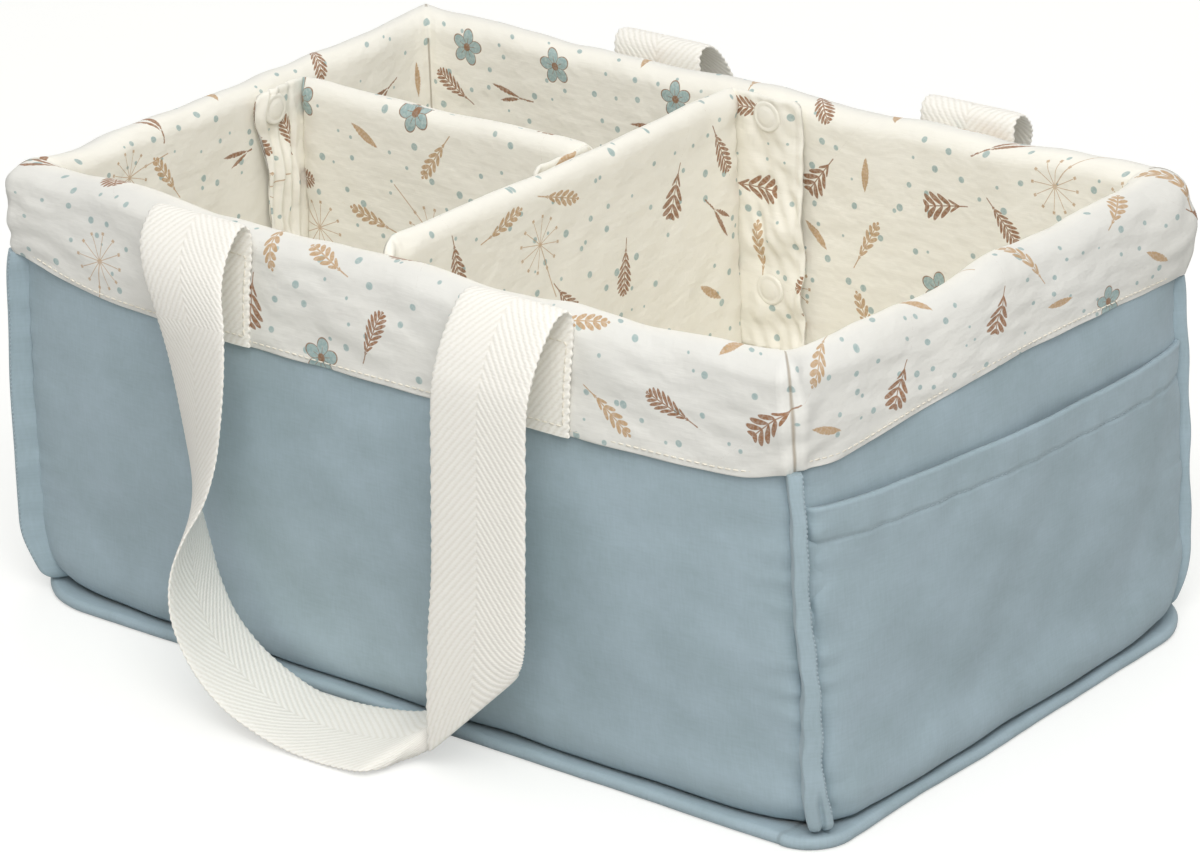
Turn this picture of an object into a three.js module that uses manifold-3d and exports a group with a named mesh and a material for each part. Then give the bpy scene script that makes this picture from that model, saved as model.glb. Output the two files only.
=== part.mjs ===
// A padded cotton caddy: an open box of sewn, padded walls whose printed lining folds over the
// rim as a cuff, two webbing handles that hang outside, two padded dividers held by snaps.
// Millimetres. +Z is up, +X runs along the long side, the front is at -Y. The origin is the
// middle of the underside.

import * as THREE from "three";
import { mergeVertices } from "three/addons/utils/BufferGeometryUtils.js";
import Module from "manifold-3d";

const wasm = await Module();
wasm.setup();

// Box: outside at the base seam, height of the rim, padded walls from lining to outer face
const baseLength = 370;
const baseDepth = 228;
const rimHeight = 176;
const endWallThickness = 18.5;
const sideWallThickness = 10.5;
const endLean = 6.5;
const sideSpread = 2.5;
const wallBulge = 6;
const wallPuff = 3;
const rimSag = 3.5;

// Cloth layers and the clearance between sewn or resting layers
const contact = 0.3;
const panelThickness = 2;
const liningThickness = 1.4;
const cuffDepth = 43.7;
const padRoll = 4.2;

// Base: sole panel, stiffening board, floor pad, floor lining and the sewn welt round them
const soleThickness = 1.2;
const boardThickness = 3;
const floorPadThickness = 3;
const floorLiningThickness = 1.2;
const weltReach = 8.8;
const weltHeight = 4.5;
const weltSeat = 6;
const weltCorner = 14;
const soleCorner = 8;
const floorCorner = 5;

// Upright corner seams that stand proud of the corners
const seamReach = 7.2;
const seamThickness = 5;
const seamTaper = 12;

// Flat pocket on each end wall
const pocketThickness = 1.4;
const pocketEase = 2.2;
const pocketDrop = 5.3;
const pocketSlope = 15;
const pocketInset = 3.6;

// Webbing handles: the strap hangs from a crest just above the rim
const webbingWidth = 42;
const webbingThickness = 1.5;
const handleSpacing = 147;
const frontHandleShift = -3;
const backHandleShift = 9.5;
const crestRise = 1;
const handleReach = 48;

// Dividers: padded boards with a sewn cover, stood on the floor lining
const dividerThickness = 11;
const crossTopDrop = 1;
const longTopDrop = 4;
const crossDividerX = -10;
const longDividerY = 24;
const dividerEndGap = 0.6;
const dividerCorner = 12;

// Snap tabs at the divider ends and their two-part plastic snaps
const flapWidth = 28;
const flapHeight = 104;
const flapThickness = 1.4;
const flapTopDrop = 0.5;
const frontFlapDrop = 8.5;
const flapCorner = 3;
const flapHingeGap = 0.6;
const snapDrop = 8;
const snapSpacing = 70;
const snapInset = 13;
const capRadius = 6.2;
const capHeight = 1.8;
const capEdge = 0.6;
const socketRadius = 5.2;
const socketHeight = 1.3;
const socketBore = 2.3;
const socketBoreDepth = 0.8;
const studRadius = 5;
const studBase = 0.8;
const nubRadius = 1.9;
const nubHeight = 0.7;
const postRadius = 1.2;
const rivetRadius = 2.5;
const rivetThickness = 0.8;

// Shares of a size
const crownShare = 0.07;
const cushionEndShare = 0.985;

// Counts of steps, not sizes
const wallSteps = 10;
const heightSteps = 8;
const rollSteps = 7;
const snapSides = 12;
const cornerSteps = 4;

const innerLength = baseLength - 2 * endWallThickness;
const innerDepth = baseDepth - 2 * sideWallThickness;
const hemHeight = rimHeight - cuffDepth;
const boardBottom = soleThickness + contact;
const wallBottom = boardBottom + boardThickness + contact;
const floorPadBottom = wallBottom;
const floorLiningBottom = floorPadBottom + floorPadThickness + contact;
const floorTop = floorLiningBottom + floorLiningThickness;
const cuffOut = contact + liningThickness;
const rimRoll = (baseDepth / 2 - innerDepth / 2 + sideSpread + cuffOut) / 2;
const rollHeight = rimHeight - rimRoll;
const overrun = liningThickness;

const lengthHalves = { inner: innerLength / 2, base: baseLength / 2, lean: -endLean };
const depthHalves = { inner: innerDepth / 2, base: baseDepth / 2, lean: sideSpread };

// Each wall: the plan directions along it and out of it, and its own and crossing half sizes
const walls = {
  front: { along: [1, 0], out: [0, -1], own: depthHalves, crossing: lengthHalves },
  back: { along: [-1, 0], out: [0, 1], own: depthHalves, crossing: lengthHalves },
  right: { along: [0, 1], out: [1, 0], own: lengthHalves, crossing: depthHalves },
  left: { along: [0, -1], out: [-1, 0], own: lengthHalves, crossing: depthHalves },
};

const cotton = { color: 0x8a9eab, roughness: 0.85 };
const printedCotton = { color: 0xf1ede2, roughness: 0.88 };
const wadding = { color: 0xf6f4ee, roughness: 0.95 };
const webbing = { color: 0xece8dc, roughness: 0.9 };
const snapPlastic = { color: 0xefece3, roughness: 0.4 };
const boardStock = { color: 0x9c8a72, roughness: 0.8 };

const caddy = new THREE.Group();

// Turns a triangle list inside out if its faces point inwards
function solidGeometry(positions, index) {
  let volume = 0;
  const corner = (i) => new THREE.Vector3().fromArray(positions, index[i] * 3);
  for (let i = 0; i < index.length; i += 3) {
    volume += corner(i).dot(corner(i + 1).cross(corner(i + 2)));
  }
  if (volume < 0) {
    index.reverse();
  }
  const geometry = new THREE.BufferGeometry();
  geometry.setAttribute("position", new THREE.Float32BufferAttribute(positions, 3));
  geometry.setIndex(index);
  geometry.computeVertexNormals();
  return geometry;
}

// Joins closed loops of points into one body, capped at both ends or joined into a ring.
// leansForward says which way the quad from side j of loop i is split
function loftLoops(loops, outline, { ring = false, leansForward = null } = {}) {
  const count = loops[0].length;
  const positions = loops.flat().flatMap((point) => point.toArray());
  const index = [];
  const spans = ring ? loops.length : loops.length - 1;
  for (let i = 0; i < spans; i += 1) {
    const next = (i + 1) % loops.length;
    for (let j = 0; j < count; j += 1) {
      const k = (j + 1) % count;
      const [a, b, c, d] = [i * count + j, i * count + k, next * count + k, next * count + j];
      if (!leansForward || leansForward(i, j)) {
        index.push(a, b, c, a, c, d);
      } else {
        index.push(a, b, d, b, c, d);
      }
    }
  }
  if (!ring) {
    const lastLoop = (loops.length - 1) * count;
    const turned = THREE.ShapeUtils.area(outline) < 0;
    for (const [a, b, c] of THREE.ShapeUtils.triangulateShape(outline, [])) {
      const [first, second] = turned ? [c, b] : [b, c];
      index.push(a, second, first);
      index.push(lastLoop + a, lastLoop + first, lastLoop + second);
    }
  }
  return solidGeometry(positions, index);
}

function toManifold(geometry) {
  const bare = geometry.clone();
  bare.deleteAttribute("normal");
  bare.deleteAttribute("uv");
  const merged = mergeVertices(bare);
  const vertProperties = new Float32Array(merged.getAttribute("position").array);
  const triVerts = new Uint32Array(merged.getIndex().array);
  return new wasm.Manifold(new wasm.Mesh({ numProp: 3, vertProperties, triVerts }));
}

function subtractAll(geometry, cutters) {
  let body = toManifold(geometry);
  for (const cutter of cutters) {
    body = body.subtract(toManifold(cutter));
  }
  const cut = body.getMesh();
  return solidGeometry(Array.from(cut.vertProperties), Array.from(cut.triVerts));
}

function addPiece(name, geometry, look) {
  const mesh = new THREE.Mesh(geometry, new THREE.MeshStandardMaterial({ metalness: 0, ...look }));
  mesh.name = name;
  caddy.add(mesh);
}

// Values from low to high whose steps shorten towards both ends
function easedSteps(low, high, steps) {
  const values = [];
  for (let i = 0; i <= steps; i += 1) {
    values.push(low + ((high - low) * (1 - Math.cos((Math.PI * i) / steps))) / 2);
  }
  return values;
}

function evenSteps(low, high, steps) {
  return Array.from({ length: steps + 1 }, (_, i) => low + ((high - low) * i) / steps);
}

// Half size of the box at a height, at its corners
function cornerHalf(halves, z) {
  return halves.base + (halves.lean * z) / rimHeight;
}

// How far the padding swells a wall outwards: a broad bow and a steep rise by the seams
function swell(u, z) {
  const share = z / rimHeight;
  const bow = wallBulge * (1 - u * u) * Math.sin(Math.PI * share ** 1.2);
  const puff = wallPuff * (1 - Math.abs(u) ** 10) * (1 - Math.abs(2 * share - 1) ** 8);
  return bow + puff;
}

// A point in a wall: u runs -1 to 1 along it, depth 0 to 1 from the lining face to the outer
// face, extra is millimetres further out. Neighbouring walls meet at mitred ends.
function wallPoint(wall, u, { depth, extra, z }) {
  const { along, out, own, crossing } = wall;
  const outer = cornerHalf(own, z) + swell(u, z);
  const offset = own.inner + depth * (outer - own.inner) + extra;
  const reach = crossing.inner + depth * (cornerHalf(crossing, z) - crossing.inner) + extra;
  const side = u * (reach - contact / 2);
  const drop = rimSag * (1 - u ** 6) * (z / rimHeight) ** 4;
  return new THREE.Vector3(
    along[0] * side + out[0] * offset,
    along[1] * side + out[1] * offset,
    z - drop,
  );
}

// Sweeps a section along a wall. sectionAt gives the section's points at u
function wallPiece(wall, sectionAt, stations) {
  const loops = stations.map((u) => sectionAt(u).map((place) => wallPoint(wall, u, place)));
  const thickness = wall.own.base - wall.own.inner;
  const outline = sectionAt(stations[0]).map(
    ({ depth, extra, z }) => new THREE.Vector2(depth * thickness + extra, z),
  );
  return loftLoops(loops, outline);
}

// A flat layer that follows the outer face between two heights and two distances from it
function outerLayer(low, high, near, far) {
  const up = evenSteps(low, high, heightSteps).map((z) => ({ depth: 1, extra: far(z), z }));
  const down = evenSteps(high, low, heightSteps).map((z) => ({ depth: 1, extra: near(z), z }));
  return [...up, ...down];
}

// Half ellipse over the wall from the inner side to the outer side
function rollOver(innerExtra, outerExtra, rise) {
  return evenSteps(Math.PI, 0, rollSteps).map((turn) => {
    const depth = (1 + Math.cos(turn)) / 2;
    return {
      depth,
      extra: innerExtra + (outerExtra - innerExtra) * depth,
      z: rollHeight + rise * Math.sin(turn),
    };
  });
}

function liningSection() {
  const cuffLevels = evenSteps(hemHeight, rollHeight, cornerSteps);
  const cuffFace = (extra) => cuffLevels.slice(0, -1).map((z) => ({ depth: 1, extra, z }));
  return [
    { depth: 0, extra: 0, z: wallBottom },
    ...rollOver(0, cuffOut, rimRoll),
    ...cuffFace(cuffOut).reverse(),
    ...cuffFace(contact),
    ...rollOver(liningThickness, contact, rimRoll - liningThickness).reverse(),
    { depth: 0, extra: liningThickness, z: wallBottom },
  ];
}

function padSection() {
  const inner = liningThickness + contact;
  const outer = -panelThickness - contact;
  const levels = evenSteps(wallBottom, rollHeight, heightSteps).slice(0, -1);
  return [
    { depth: 0, extra: inner, z: wallBottom },
    ...rollOver(inner, outer, padRoll),
    ...levels.reverse().map((z) => ({ depth: 1, extra: outer, z })),
  ];
}

// A plate with rounded corners in plan
function roundedPlate(halfX, halfY, radius, thickness, holes = []) {
  const shape = new THREE.Shape();
  shape.moveTo(halfX - radius, -halfY);
  shape.absarc(halfX - radius, radius - halfY, radius, -Math.PI / 2, 0);
  shape.absarc(halfX - radius, halfY - radius, radius, 0, Math.PI / 2);
  shape.absarc(radius - halfX, halfY - radius, radius, Math.PI / 2, Math.PI);
  shape.absarc(radius - halfX, radius - halfY, radius, Math.PI, Math.PI * 1.5);
  for (const [x, y, hole] of holes) {
    const path = new THREE.Path();
    path.absarc(x, y, hole, 0, Math.PI * 2, true);
    shape.holes.push(path);
  }
  const options = { depth: thickness, bevelEnabled: false, curveSegments: cornerSteps };
  return new THREE.ExtrudeGeometry(shape, options);
}

function turnedPiece(profile) {
  const points = profile.map(([radius, height]) => new THREE.Vector2(radius, height));
  const geometry = new THREE.LatheGeometry(points, snapSides);
  geometry.rotateX(Math.PI / 2);
  const bare = geometry;
  bare.deleteAttribute("normal");
  bare.deleteAttribute("uv");
  const merged = mergeVertices(bare);
  return solidGeometry(Array.from(merged.getAttribute("position").array), cleanIndex(merged));
}

// Drops the triangles that close up on the axis
function cleanIndex(geometry) {
  const source = geometry.getIndex().array;
  const kept = [];
  for (let i = 0; i < source.length; i += 3) {
    const [a, b, c] = [source[i], source[i + 1], source[i + 2]];
    if (a !== b && b !== c && c !== a) {
      kept.push(a, b, c);
    }
  }
  return kept;
}

// Plan outline of the base at a distance outside the base seam, as evenly counted points
function baseOutline(outside, radius) {
  const halfX = baseLength / 2 + outside;
  const halfY = baseDepth / 2 + outside;
  const corners = [
    [1, -1, -Math.PI / 2],
    [1, 1, 0],
    [-1, 1, Math.PI / 2],
    [-1, -1, Math.PI],
  ];
  return corners.flatMap(([signX, signY, start]) =>
    evenSteps(start, start + Math.PI / 2, cornerSteps).map((angle) => [
      signX * (halfX - radius) + radius * Math.cos(angle),
      signY * (halfY - radius) + radius * Math.sin(angle),
    ]),
  );
}

// The sewn welt: a flat band under the walls whose edge is rolled round
function baseWelt() {
  const inner = baseOutline(-weltSeat, soleCorner);
  const outer = baseOutline(weltReach - weltHeight / 2, weltCorner);
  const arc = evenSteps(-Math.PI / 2, Math.PI / 2, cornerSteps);
  const loops = inner.map(([x, y], i) => {
    const edge = new THREE.Vector2(outer[i][0], outer[i][1]);
    const way = edge.clone().sub(new THREE.Vector2(x, y)).normalize();
    const rolled = arc.map((angle) => {
      const reach = (weltHeight / 2) * Math.cos(angle);
      const z = (weltHeight / 2) * (1 + Math.sin(angle));
      return new THREE.Vector3(edge.x + way.x * reach, edge.y + way.y * reach, z);
    });
    return [new THREE.Vector3(x, y, 0), ...rolled, new THREE.Vector3(x, y, weltHeight)];
  });
  return loftLoops(loops, null, { ring: true });
}

// A folded seam that runs up one corner, thinner where it starts above the base
function cornerSeam(signX, signY) {
  const bottom = weltHeight + contact + contact;
  const top = hemHeight - contact;
  const levels = [
    ...easedSteps(bottom, bottom + seamTaper, cornerSteps),
    ...evenSteps(bottom + seamTaper, top, heightSteps).slice(1),
  ];
  const arc = evenSteps(-Math.PI / 2, Math.PI / 2, cornerSteps);
  const half = seamThickness / 2;
  const diagonal = new THREE.Vector3(signX, signY, 0).normalize();
  const across = new THREE.Vector3(-signY, signX, 0).normalize();
  const sectionAt = (z) => {
    const share = Math.min((z - bottom) / seamTaper, 1);
    const proud = half + (seamReach - 2 * half) * Math.sqrt(share * (2 - share));
    const rolled = arc.map((angle) => [proud + half * Math.cos(angle), half * Math.sin(angle)]);
    return [[contact, -half], ...rolled, [contact, half]];
  };
  const loops = levels.map((z) => {
    const corner = new THREE.Vector3(
      signX * cornerHalf(lengthHalves, z),
      signY * cornerHalf(depthHalves, z),
      z,
    );
    return sectionAt(z).map(([reach, side]) =>
      corner.clone().addScaledVector(diagonal, reach).addScaledVector(across, side),
    );
  });
  const outline = sectionAt(bottom).map(([reach, side]) => new THREE.Vector2(reach, side));
  return loftLoops(loops, outline);
}

// The pocket: a single cloth panel sewn in at its sides and foot, easy at its mouth. The mouth
// falls evenly from one corner to the other.
function pocketSection(u) {
  const top = hemHeight - pocketDrop - (pocketSlope * (1 + u)) / 2;
  const ease = (z) => pocketEase * (1 - u * u) * ((z - wallBottom) / (top - wallBottom)) ** 2;
  const near = (z) => contact + ease(z);
  const far = (z) => near(z) + pocketThickness;
  return outerLayer(wallBottom, top, near, far);
}

function addShell() {
  for (const [name, wall] of Object.entries(walls)) {
    const stations = easedSteps(-1, 1, wallSteps);
    const panel = () => outerLayer(wallBottom, rollHeight, () => -panelThickness, () => 0);
    const sites = snapSites.filter((site) => site.wall === wall);
    const pad = subtractAll(wallPiece(wall, padSection, stations), sites.map(rivetRecess));
    const lining = subtractAll(wallPiece(wall, liningSection, stations), [
      ...sites.map(postHole),
      ...sites.map(rivetRecess),
    ]);
    addPiece(`outer_panel_${name}`, wallPiece(wall, panel, stations), cotton);
    addPiece(`wall_pad_${name}`, pad, wadding);
    addPiece(`lining_${name}`, lining, printedCotton);
  }
  for (const name of ["right", "left"]) {
    const limit = 1 - pocketInset / depthHalves.base;
    const stations = easedSteps(-limit, limit, wallSteps);
    addPiece(`end_pocket_${name}`, wallPiece(walls[name], pocketSection, stations), cotton);
  }
  for (const [name, signX, signY] of [
    ["front_left", -1, -1],
    ["front_right", 1, -1],
    ["back_left", -1, 1],
    ["back_right", 1, 1],
  ]) {
    addPiece(`corner_seam_${name}`, cornerSeam(signX, signY), cotton);
  }
}

function addBase() {
  const soleX = baseLength / 2 - weltSeat - contact;
  const soleY = baseDepth / 2 - weltSeat - contact;
  const floorX = innerLength / 2 - contact;
  const floorY = innerDepth / 2 - contact;
  const layers = [
    ["base_outer_panel", soleX, soleY, soleCorner, 0, soleThickness, cotton],
    ["base_board", soleX, soleY, soleCorner, boardBottom, boardThickness, boardStock],
    ["floor_pad", floorX, floorY, floorCorner, floorPadBottom, floorPadThickness, wadding],
    [
      "floor_lining",
      floorX,
      floorY,
      floorCorner,
      floorLiningBottom,
      floorLiningThickness,
      printedCotton,
    ],
  ];
  for (const [name, halfX, halfY, radius, bottom, thickness, look] of layers) {
    const plate = roundedPlate(halfX, halfY, radius, thickness);
    plate.translate(0, 0, bottom);
    addPiece(name, plate, look);
  }
  addPiece("base_welt", baseWelt(), cotton);
}

// Handles. The crest line is where the strap turns over above its sewn end.
const crestHeight = rimHeight + crestRise;
const anchorLift = contact + webbingThickness / 2;
const crestOut = depthHalves.base + sideSpread + cuffOut + anchorLift + rimRoll / 3;

// The strap's route as shares: along the handle spacing from its middle, out along
// handleReach from the crest, up the crest height, then the strap's own width direction
// (along, out, up) in widths. It runs from the right end, down, round the loop and up.
const strapRouteShares = [
  [0.5, 0, 1, 1, 0, 0],
  [0.5, 0.07, 1, 1, 0, 0],
  [0.499, 0.19, 0.987, 1, 0, 0],
  [0.497, 0.33, 0.946, 1, 0, 0],
  [0.492, 0.44, 0.884, 1, 0, 0],
  [0.486, 0.495, 0.81, 1, 0, 0],
  [0.474, 0.51, 0.62, 1, 0, 0],
  [0.462, 0.515, 0.44, 1, 0, 0],
  [0.45, 0.53, 0.33, 1.01, 0, 0.12],
  [0.44, 0.54, 0.225, 1.04, 0, 0.6],
  [0.434, 0.54, 0.155, 1.08, 0, 1.06],
  [0.441, 0.51, 0.147, 1.08, 0, 1.06],
  [0.431, 0.467, 0.15, 1.06, -0.024, 1.021],
  [0.359, 0.442, 0.12, 0.774, -0.09, 0.871],
  [0.286, 0.405, 0.103, 0.524, -0.255, 0.8],
  [0.221, 0.402, 0.096, 0.357, -0.452, 0.76],
  [0.16, 0.425, 0.081, 0.238, -0.686, 0.631],
  [0.1, 0.459, 0.059, 0.155, -0.869, 0.433],
  [0.034, 0.49, 0.034, 0.048, -0.967, 0.217],
  [-0.069, 0.52, 0.015, -0.08, -1, 0.02],
  [-0.165, 0.545, 0.027, -0.12, -0.99, -0.05],
  [-0.253, 0.567, 0.057, -0.14, -0.99, -0.07],
  [-0.329, 0.59, 0.103, -0.19, -0.98, -0.1],
  [-0.389, 0.607, 0.164, -0.24, -0.96, -0.12],
  [-0.427, 0.607, 0.236, -0.3, -0.95, -0.12],
  [-0.442, 0.585, 0.314, -0.4, -0.91, -0.11],
  [-0.44, 0.555, 0.394, -0.58, -0.81, -0.06],
  [-0.425, 0.52, 0.476, -0.75, -0.66, 0.03],
  [-0.415, 0.505, 0.561, -0.85, -0.52, 0.05],
  [-0.41, 0.503, 0.648, -0.91, -0.42, 0.01],
  [-0.41, 0.503, 0.735, -0.95, -0.32, -0.06],
  [-0.42, 0.5, 0.822, -0.97, -0.2, -0.1],
  [-0.455, 0.4, 0.91, -0.99, -0.1, -0.06],
  [-0.485, 0.22, 0.98, -1, 0, 0],
  [-0.5, 0.07, 1, -1, 0, 0],
  [-0.5, 0, 1, -1, 0, 0],
];

// One strap. side is -1 at the front and 1 at the back, where the route is turned half round
function strap(side, middle) {
  const centres = strapRouteShares.map(([along, out, up]) =>
    new THREE.Vector3(
      middle - side * along * handleSpacing,
      side * (crestOut + out * handleReach),
      up * crestHeight,
    ),
  );
  const widths = strapRouteShares.map(([, , , along, out, up]) =>
    new THREE.Vector3(-side * along, side * out, up).multiplyScalar(webbingWidth / 2),
  );
  // Each edge has its own direction of travel, because the twist turns the two edges apart
  const edgeAt = (i, way) => centres[i].clone().addScaledVector(widths[i], way);
  const faceAt = (i, way) => {
    const after = edgeAt(Math.min(i + 1, centres.length - 1), way);
    const travel = after.sub(edgeAt(Math.max(i - 1, 0), way));
    const normal = travel.cross(widths[i]).setLength(webbingThickness / 2);
    return [edgeAt(i, way).add(normal), edgeAt(i, way).sub(normal)];
  };
  const loops = centres.map((_, i) => [...faceAt(i, 1), ...faceAt(i, -1).reverse()]);
  const crossing = (i, way) => edgeAt(i, way).distanceTo(edgeAt(i + 1, -way));
  const leansForward = (i, j) => crossing(i, 1) < crossing(i, -1) === j < 2;
  const half = [webbingWidth / 2, webbingThickness / 2];
  const outline = [
    new THREE.Vector2(half[0], half[1]),
    new THREE.Vector2(half[0], -half[1]),
    new THREE.Vector2(-half[0], -half[1]),
    new THREE.Vector2(-half[0], half[1]),
  ];
  return loftLoops(loops, outline, { leansForward });
}

// A sewn end lies on the cuff from its hem to the roll and stands straight up to the crest
function strapEnd(wall, side, middle) {
  const top = crestHeight - webbingThickness / 2 - contact;
  const stations = evenSteps(-1, 1, cornerSteps).map(
    (share) => middle + (share * webbingWidth) / 2,
  );
  const levels = evenSteps(hemHeight, rollHeight - rimSag, cornerSteps);
  const reach = cornerHalf(lengthHalves, hemHeight);
  const loops = stations.map((x) => {
    const u = (-side * x) / reach;
    const face = (extra) =>
      levels.map((z) => {
        const point = wallPoint(wall, u, { depth: 1, extra, z });
        return new THREE.Vector3(x, point.y, point.z);
      });
    const near = face(cuffOut + contact);
    const far = face(cuffOut + contact + webbingThickness);
    const crest = (out) => new THREE.Vector3(x, side * (crestOut + out), top);
    return [...near, crest(-webbingThickness / 2), crest(webbingThickness / 2), ...far.reverse()];
  });
  const outline = loops[0].map((point) => new THREE.Vector2(side * point.y, point.z));
  return loftLoops(loops, outline);
}

function addHandles() {
  for (const [name, wall, side, shift] of [
    ["front", walls.front, -1, frontHandleShift],
    ["back", walls.back, 1, backHandleShift],
  ]) {
    addPiece(`handle_${name}_strap`, strap(side, shift), webbing);
    for (const [end, sign] of [
      ["left", -1],
      ["right", 1],
    ]) {
      const middle = shift + (sign * handleSpacing) / 2;
      addPiece(`handle_${name}_${end}_sewn_end`, strapEnd(wall, side, middle), webbing);
    }
  }
}

// Share of the full thickness of a divider at a share of its half length
function endTaper(share) {
  return (1 - Math.abs(share) ** 10) ** 0.35;
}

// A cushion that stands on edge: rolled along its top and foot, crowned at mid height, thinner
// towards the ends, with round upper corners. foot lengthens it downwards.
function standingCushion(halfLength, halfThickness, bottom, top, inset, foot) {
  const shares = easedSteps(-1, 1, wallSteps + 2).map((share) => share * cushionEndShare);
  const length = halfLength - inset;
  const sectionAt = (share) => {
    const half = (halfThickness - inset) * endTaper(share);
    const edge = half * (1 - crownShare);
    const past = Math.max(Math.abs(share) * length - (length - dividerCorner), 0);
    const round = dividerCorner - Math.sqrt(dividerCorner ** 2 - past ** 2);
    const [low, high] = [bottom + inset - foot + edge, top - inset - round - edge];
    const side = (way) =>
      evenSteps(low, high, heightSteps)
        .slice(1, -1)
        .map((z) => {
          const level = (2 * z - low - high) / (high - low);
          return new THREE.Vector3(way * half * (1 - crownShare * level ** 2), share * length, z);
        });
    const arc = (from, to, z) =>
      evenSteps(from, to, rollSteps).map(
        (turn) =>
          new THREE.Vector3(edge * Math.cos(turn), share * length, z + edge * Math.sin(turn)),
      );
    return [
      ...arc(0, Math.PI, high),
      ...side(-1).reverse(),
      ...arc(Math.PI, 2 * Math.PI, low),
      ...side(1),
    ];
  };
  const outline = sectionAt(0).map((point) => new THREE.Vector2(point.x, point.z));
  return loftLoops(shares.map(sectionAt), outline);
}

const crossHalf = innerDepth / 2 - dividerEndGap;
const longLeftEnd = -innerLength / 2 + dividerEndGap;
const longRightEnd = crossDividerX - dividerThickness / 2 - dividerEndGap;
const crossTop = rimHeight - crossTopDrop;
const longTop = rimHeight - longTopDrop;
const dividerBottom = floorTop + contact;

const dividers = {
  cross_divider: {
    half: crossHalf,
    top: crossTop,
    place: new THREE.Matrix4().makeTranslation(crossDividerX, 0, 0),
  },
  long_divider: {
    half: (longRightEnd - longLeftEnd) / 2,
    top: longTop,
    place: new THREE.Matrix4()
      .makeTranslation((longRightEnd + longLeftEnd) / 2, longDividerY, 0)
      .multiply(new THREE.Matrix4().makeRotationZ(-Math.PI / 2)),
  },
};

function addDividers() {
  for (const [name, { half, top, place }] of Object.entries(dividers)) {
    const sites = snapSites.filter((site) => site.carrier === name);
    const shape = (inset, foot) => {
      const cushion = standingCushion(half, dividerThickness / 2, dividerBottom, top, inset, foot);
      return cushion.applyMatrix4(place);
    };
    const cavity = shape(liningThickness, liningThickness + overrun);
    const cuts = [cavity, ...sites.map(postHole), ...sites.map(rivetRecess)];
    const cover = subtractAll(shape(0, 0), cuts);
    const pad = subtractAll(shape(liningThickness + contact, 0), sites.map(rivetRecess));
    addPiece(`${name}_cover`, cover, printedCotton);
    addPiece(`${name}_pad`, pad, wadding);
  }
}

// Snap tabs. Each hangs from a divider end and lies along the face that it snaps to.
// origin: the hinge edge on that face, along: away from the divider, out: off the face
const socketMouth = contact + studBase + nubHeight + contact;
const flapBack = socketMouth + socketHeight + contact;
const capBack = flapBack + flapThickness + contact;

function hingeOffset(half) {
  const share = 1 - flapBack / half;
  return (dividerThickness / 2) * endTaper(share) + flapHingeGap;
}

const flaps = {
  cross_back_flap: {
    origin: [crossDividerX + hingeOffset(crossHalf), innerDepth / 2],
    along: [1, 0],
    out: [0, -1],
    top: crossTop,
    wall: walls.back,
  },
  cross_front_flap: {
    origin: [crossDividerX + hingeOffset(crossHalf), -innerDepth / 2],
    along: [1, 0],
    out: [0, 1],
    top: crossTop - frontFlapDrop,
    wall: walls.front,
  },
  long_left_flap: {
    origin: [-innerLength / 2, longDividerY - hingeOffset(dividers.long_divider.half)],
    along: [0, -1],
    out: [1, 0],
    top: longTop,
    wall: walls.left,
  },
  long_right_flap: {
    origin: [
      crossDividerX - dividerThickness / 2,
      longDividerY - hingeOffset(dividers.long_divider.half),
    ],
    along: [0, -1],
    out: [-1, 0],
    top: longTop,
    carrier: "cross_divider",
  },
};

// Places a piece made with its axis on +Z, or its plate in XY, on a tab's face
function onFace(geometry, flap, along, height, lift) {
  const [x, y] = flap.origin;
  const alongAxis = new THREE.Vector3(flap.along[0], flap.along[1], 0);
  const outAxis = new THREE.Vector3(flap.out[0], flap.out[1], 0);
  const upAxis = outAxis.clone().cross(alongAxis);
  const centre = new THREE.Vector3(x, y, height)
    .addScaledVector(alongAxis, along)
    .addScaledVector(outAxis, lift);
  const turn = new THREE.Matrix4().makeBasis(alongAxis, upAxis, outAxis);
  return geometry.applyMatrix4(turn).translate(centre.x, centre.y, centre.z);
}

const snapSites = Object.entries(flaps).flatMap(([name, flap]) =>
  ["upper", "lower"].map((level, i) => ({
    name: `${name}_${level}`,
    flap,
    wall: flap.wall,
    carrier: flap.carrier,
    height: flap.top - flapTopDrop - snapDrop - i * snapSpacing,
  })),
);

function faceCylinder(site, radius, from, to) {
  const profile = [
    [0, 0],
    [radius, 0],
    [radius, to - from],
    [0, to - from],
  ];
  return onFace(turnedPiece(profile), site.flap, snapInset, site.height, from);
}

// Hole for the stud's post through the lining or cover, and the hollow for its rivet head
function postHole(site) {
  return faceCylinder(site, postRadius + contact, -liningThickness - overrun, overrun);
}

function rivetRecess(site) {
  const depth = liningThickness + contact + rivetThickness + contact;
  return faceCylinder(site, rivetRadius + contact, -depth, -liningThickness - contact / 2);
}

// Stud: rivet head behind the cloth, post, base disc on the face and the nub that is gripped
function studProfile() {
  const head = -liningThickness - contact;
  const base = contact + studBase;
  return [
    [0, head - rivetThickness],
    [rivetRadius, head - rivetThickness],
    [rivetRadius, head],
    [postRadius, head],
    [postRadius, contact],
    [studRadius, contact],
    [studRadius, base],
    [nubRadius, base],
    [nubRadius, base + nubHeight],
    [0, base + nubHeight],
  ];
}

// Socket behind the tab, its post through the tab and the domed cap in front
function socketProfile() {
  const capTop = capBack + capHeight;
  return [
    [0, socketMouth + socketBoreDepth],
    [socketBore, socketMouth + socketBoreDepth],
    [socketBore, socketMouth],
    [socketRadius, socketMouth],
    [socketRadius, socketMouth + socketHeight],
    [postRadius, socketMouth + socketHeight],
    [postRadius, capBack],
    [capRadius, capBack],
    [capRadius, capBack + capEdge],
    [(capRadius * 5) / 6, capBack + (capHeight * 2) / 3],
    [capRadius / 2, capTop - capHeight / 9],
    [0, capTop],
  ];
}

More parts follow.
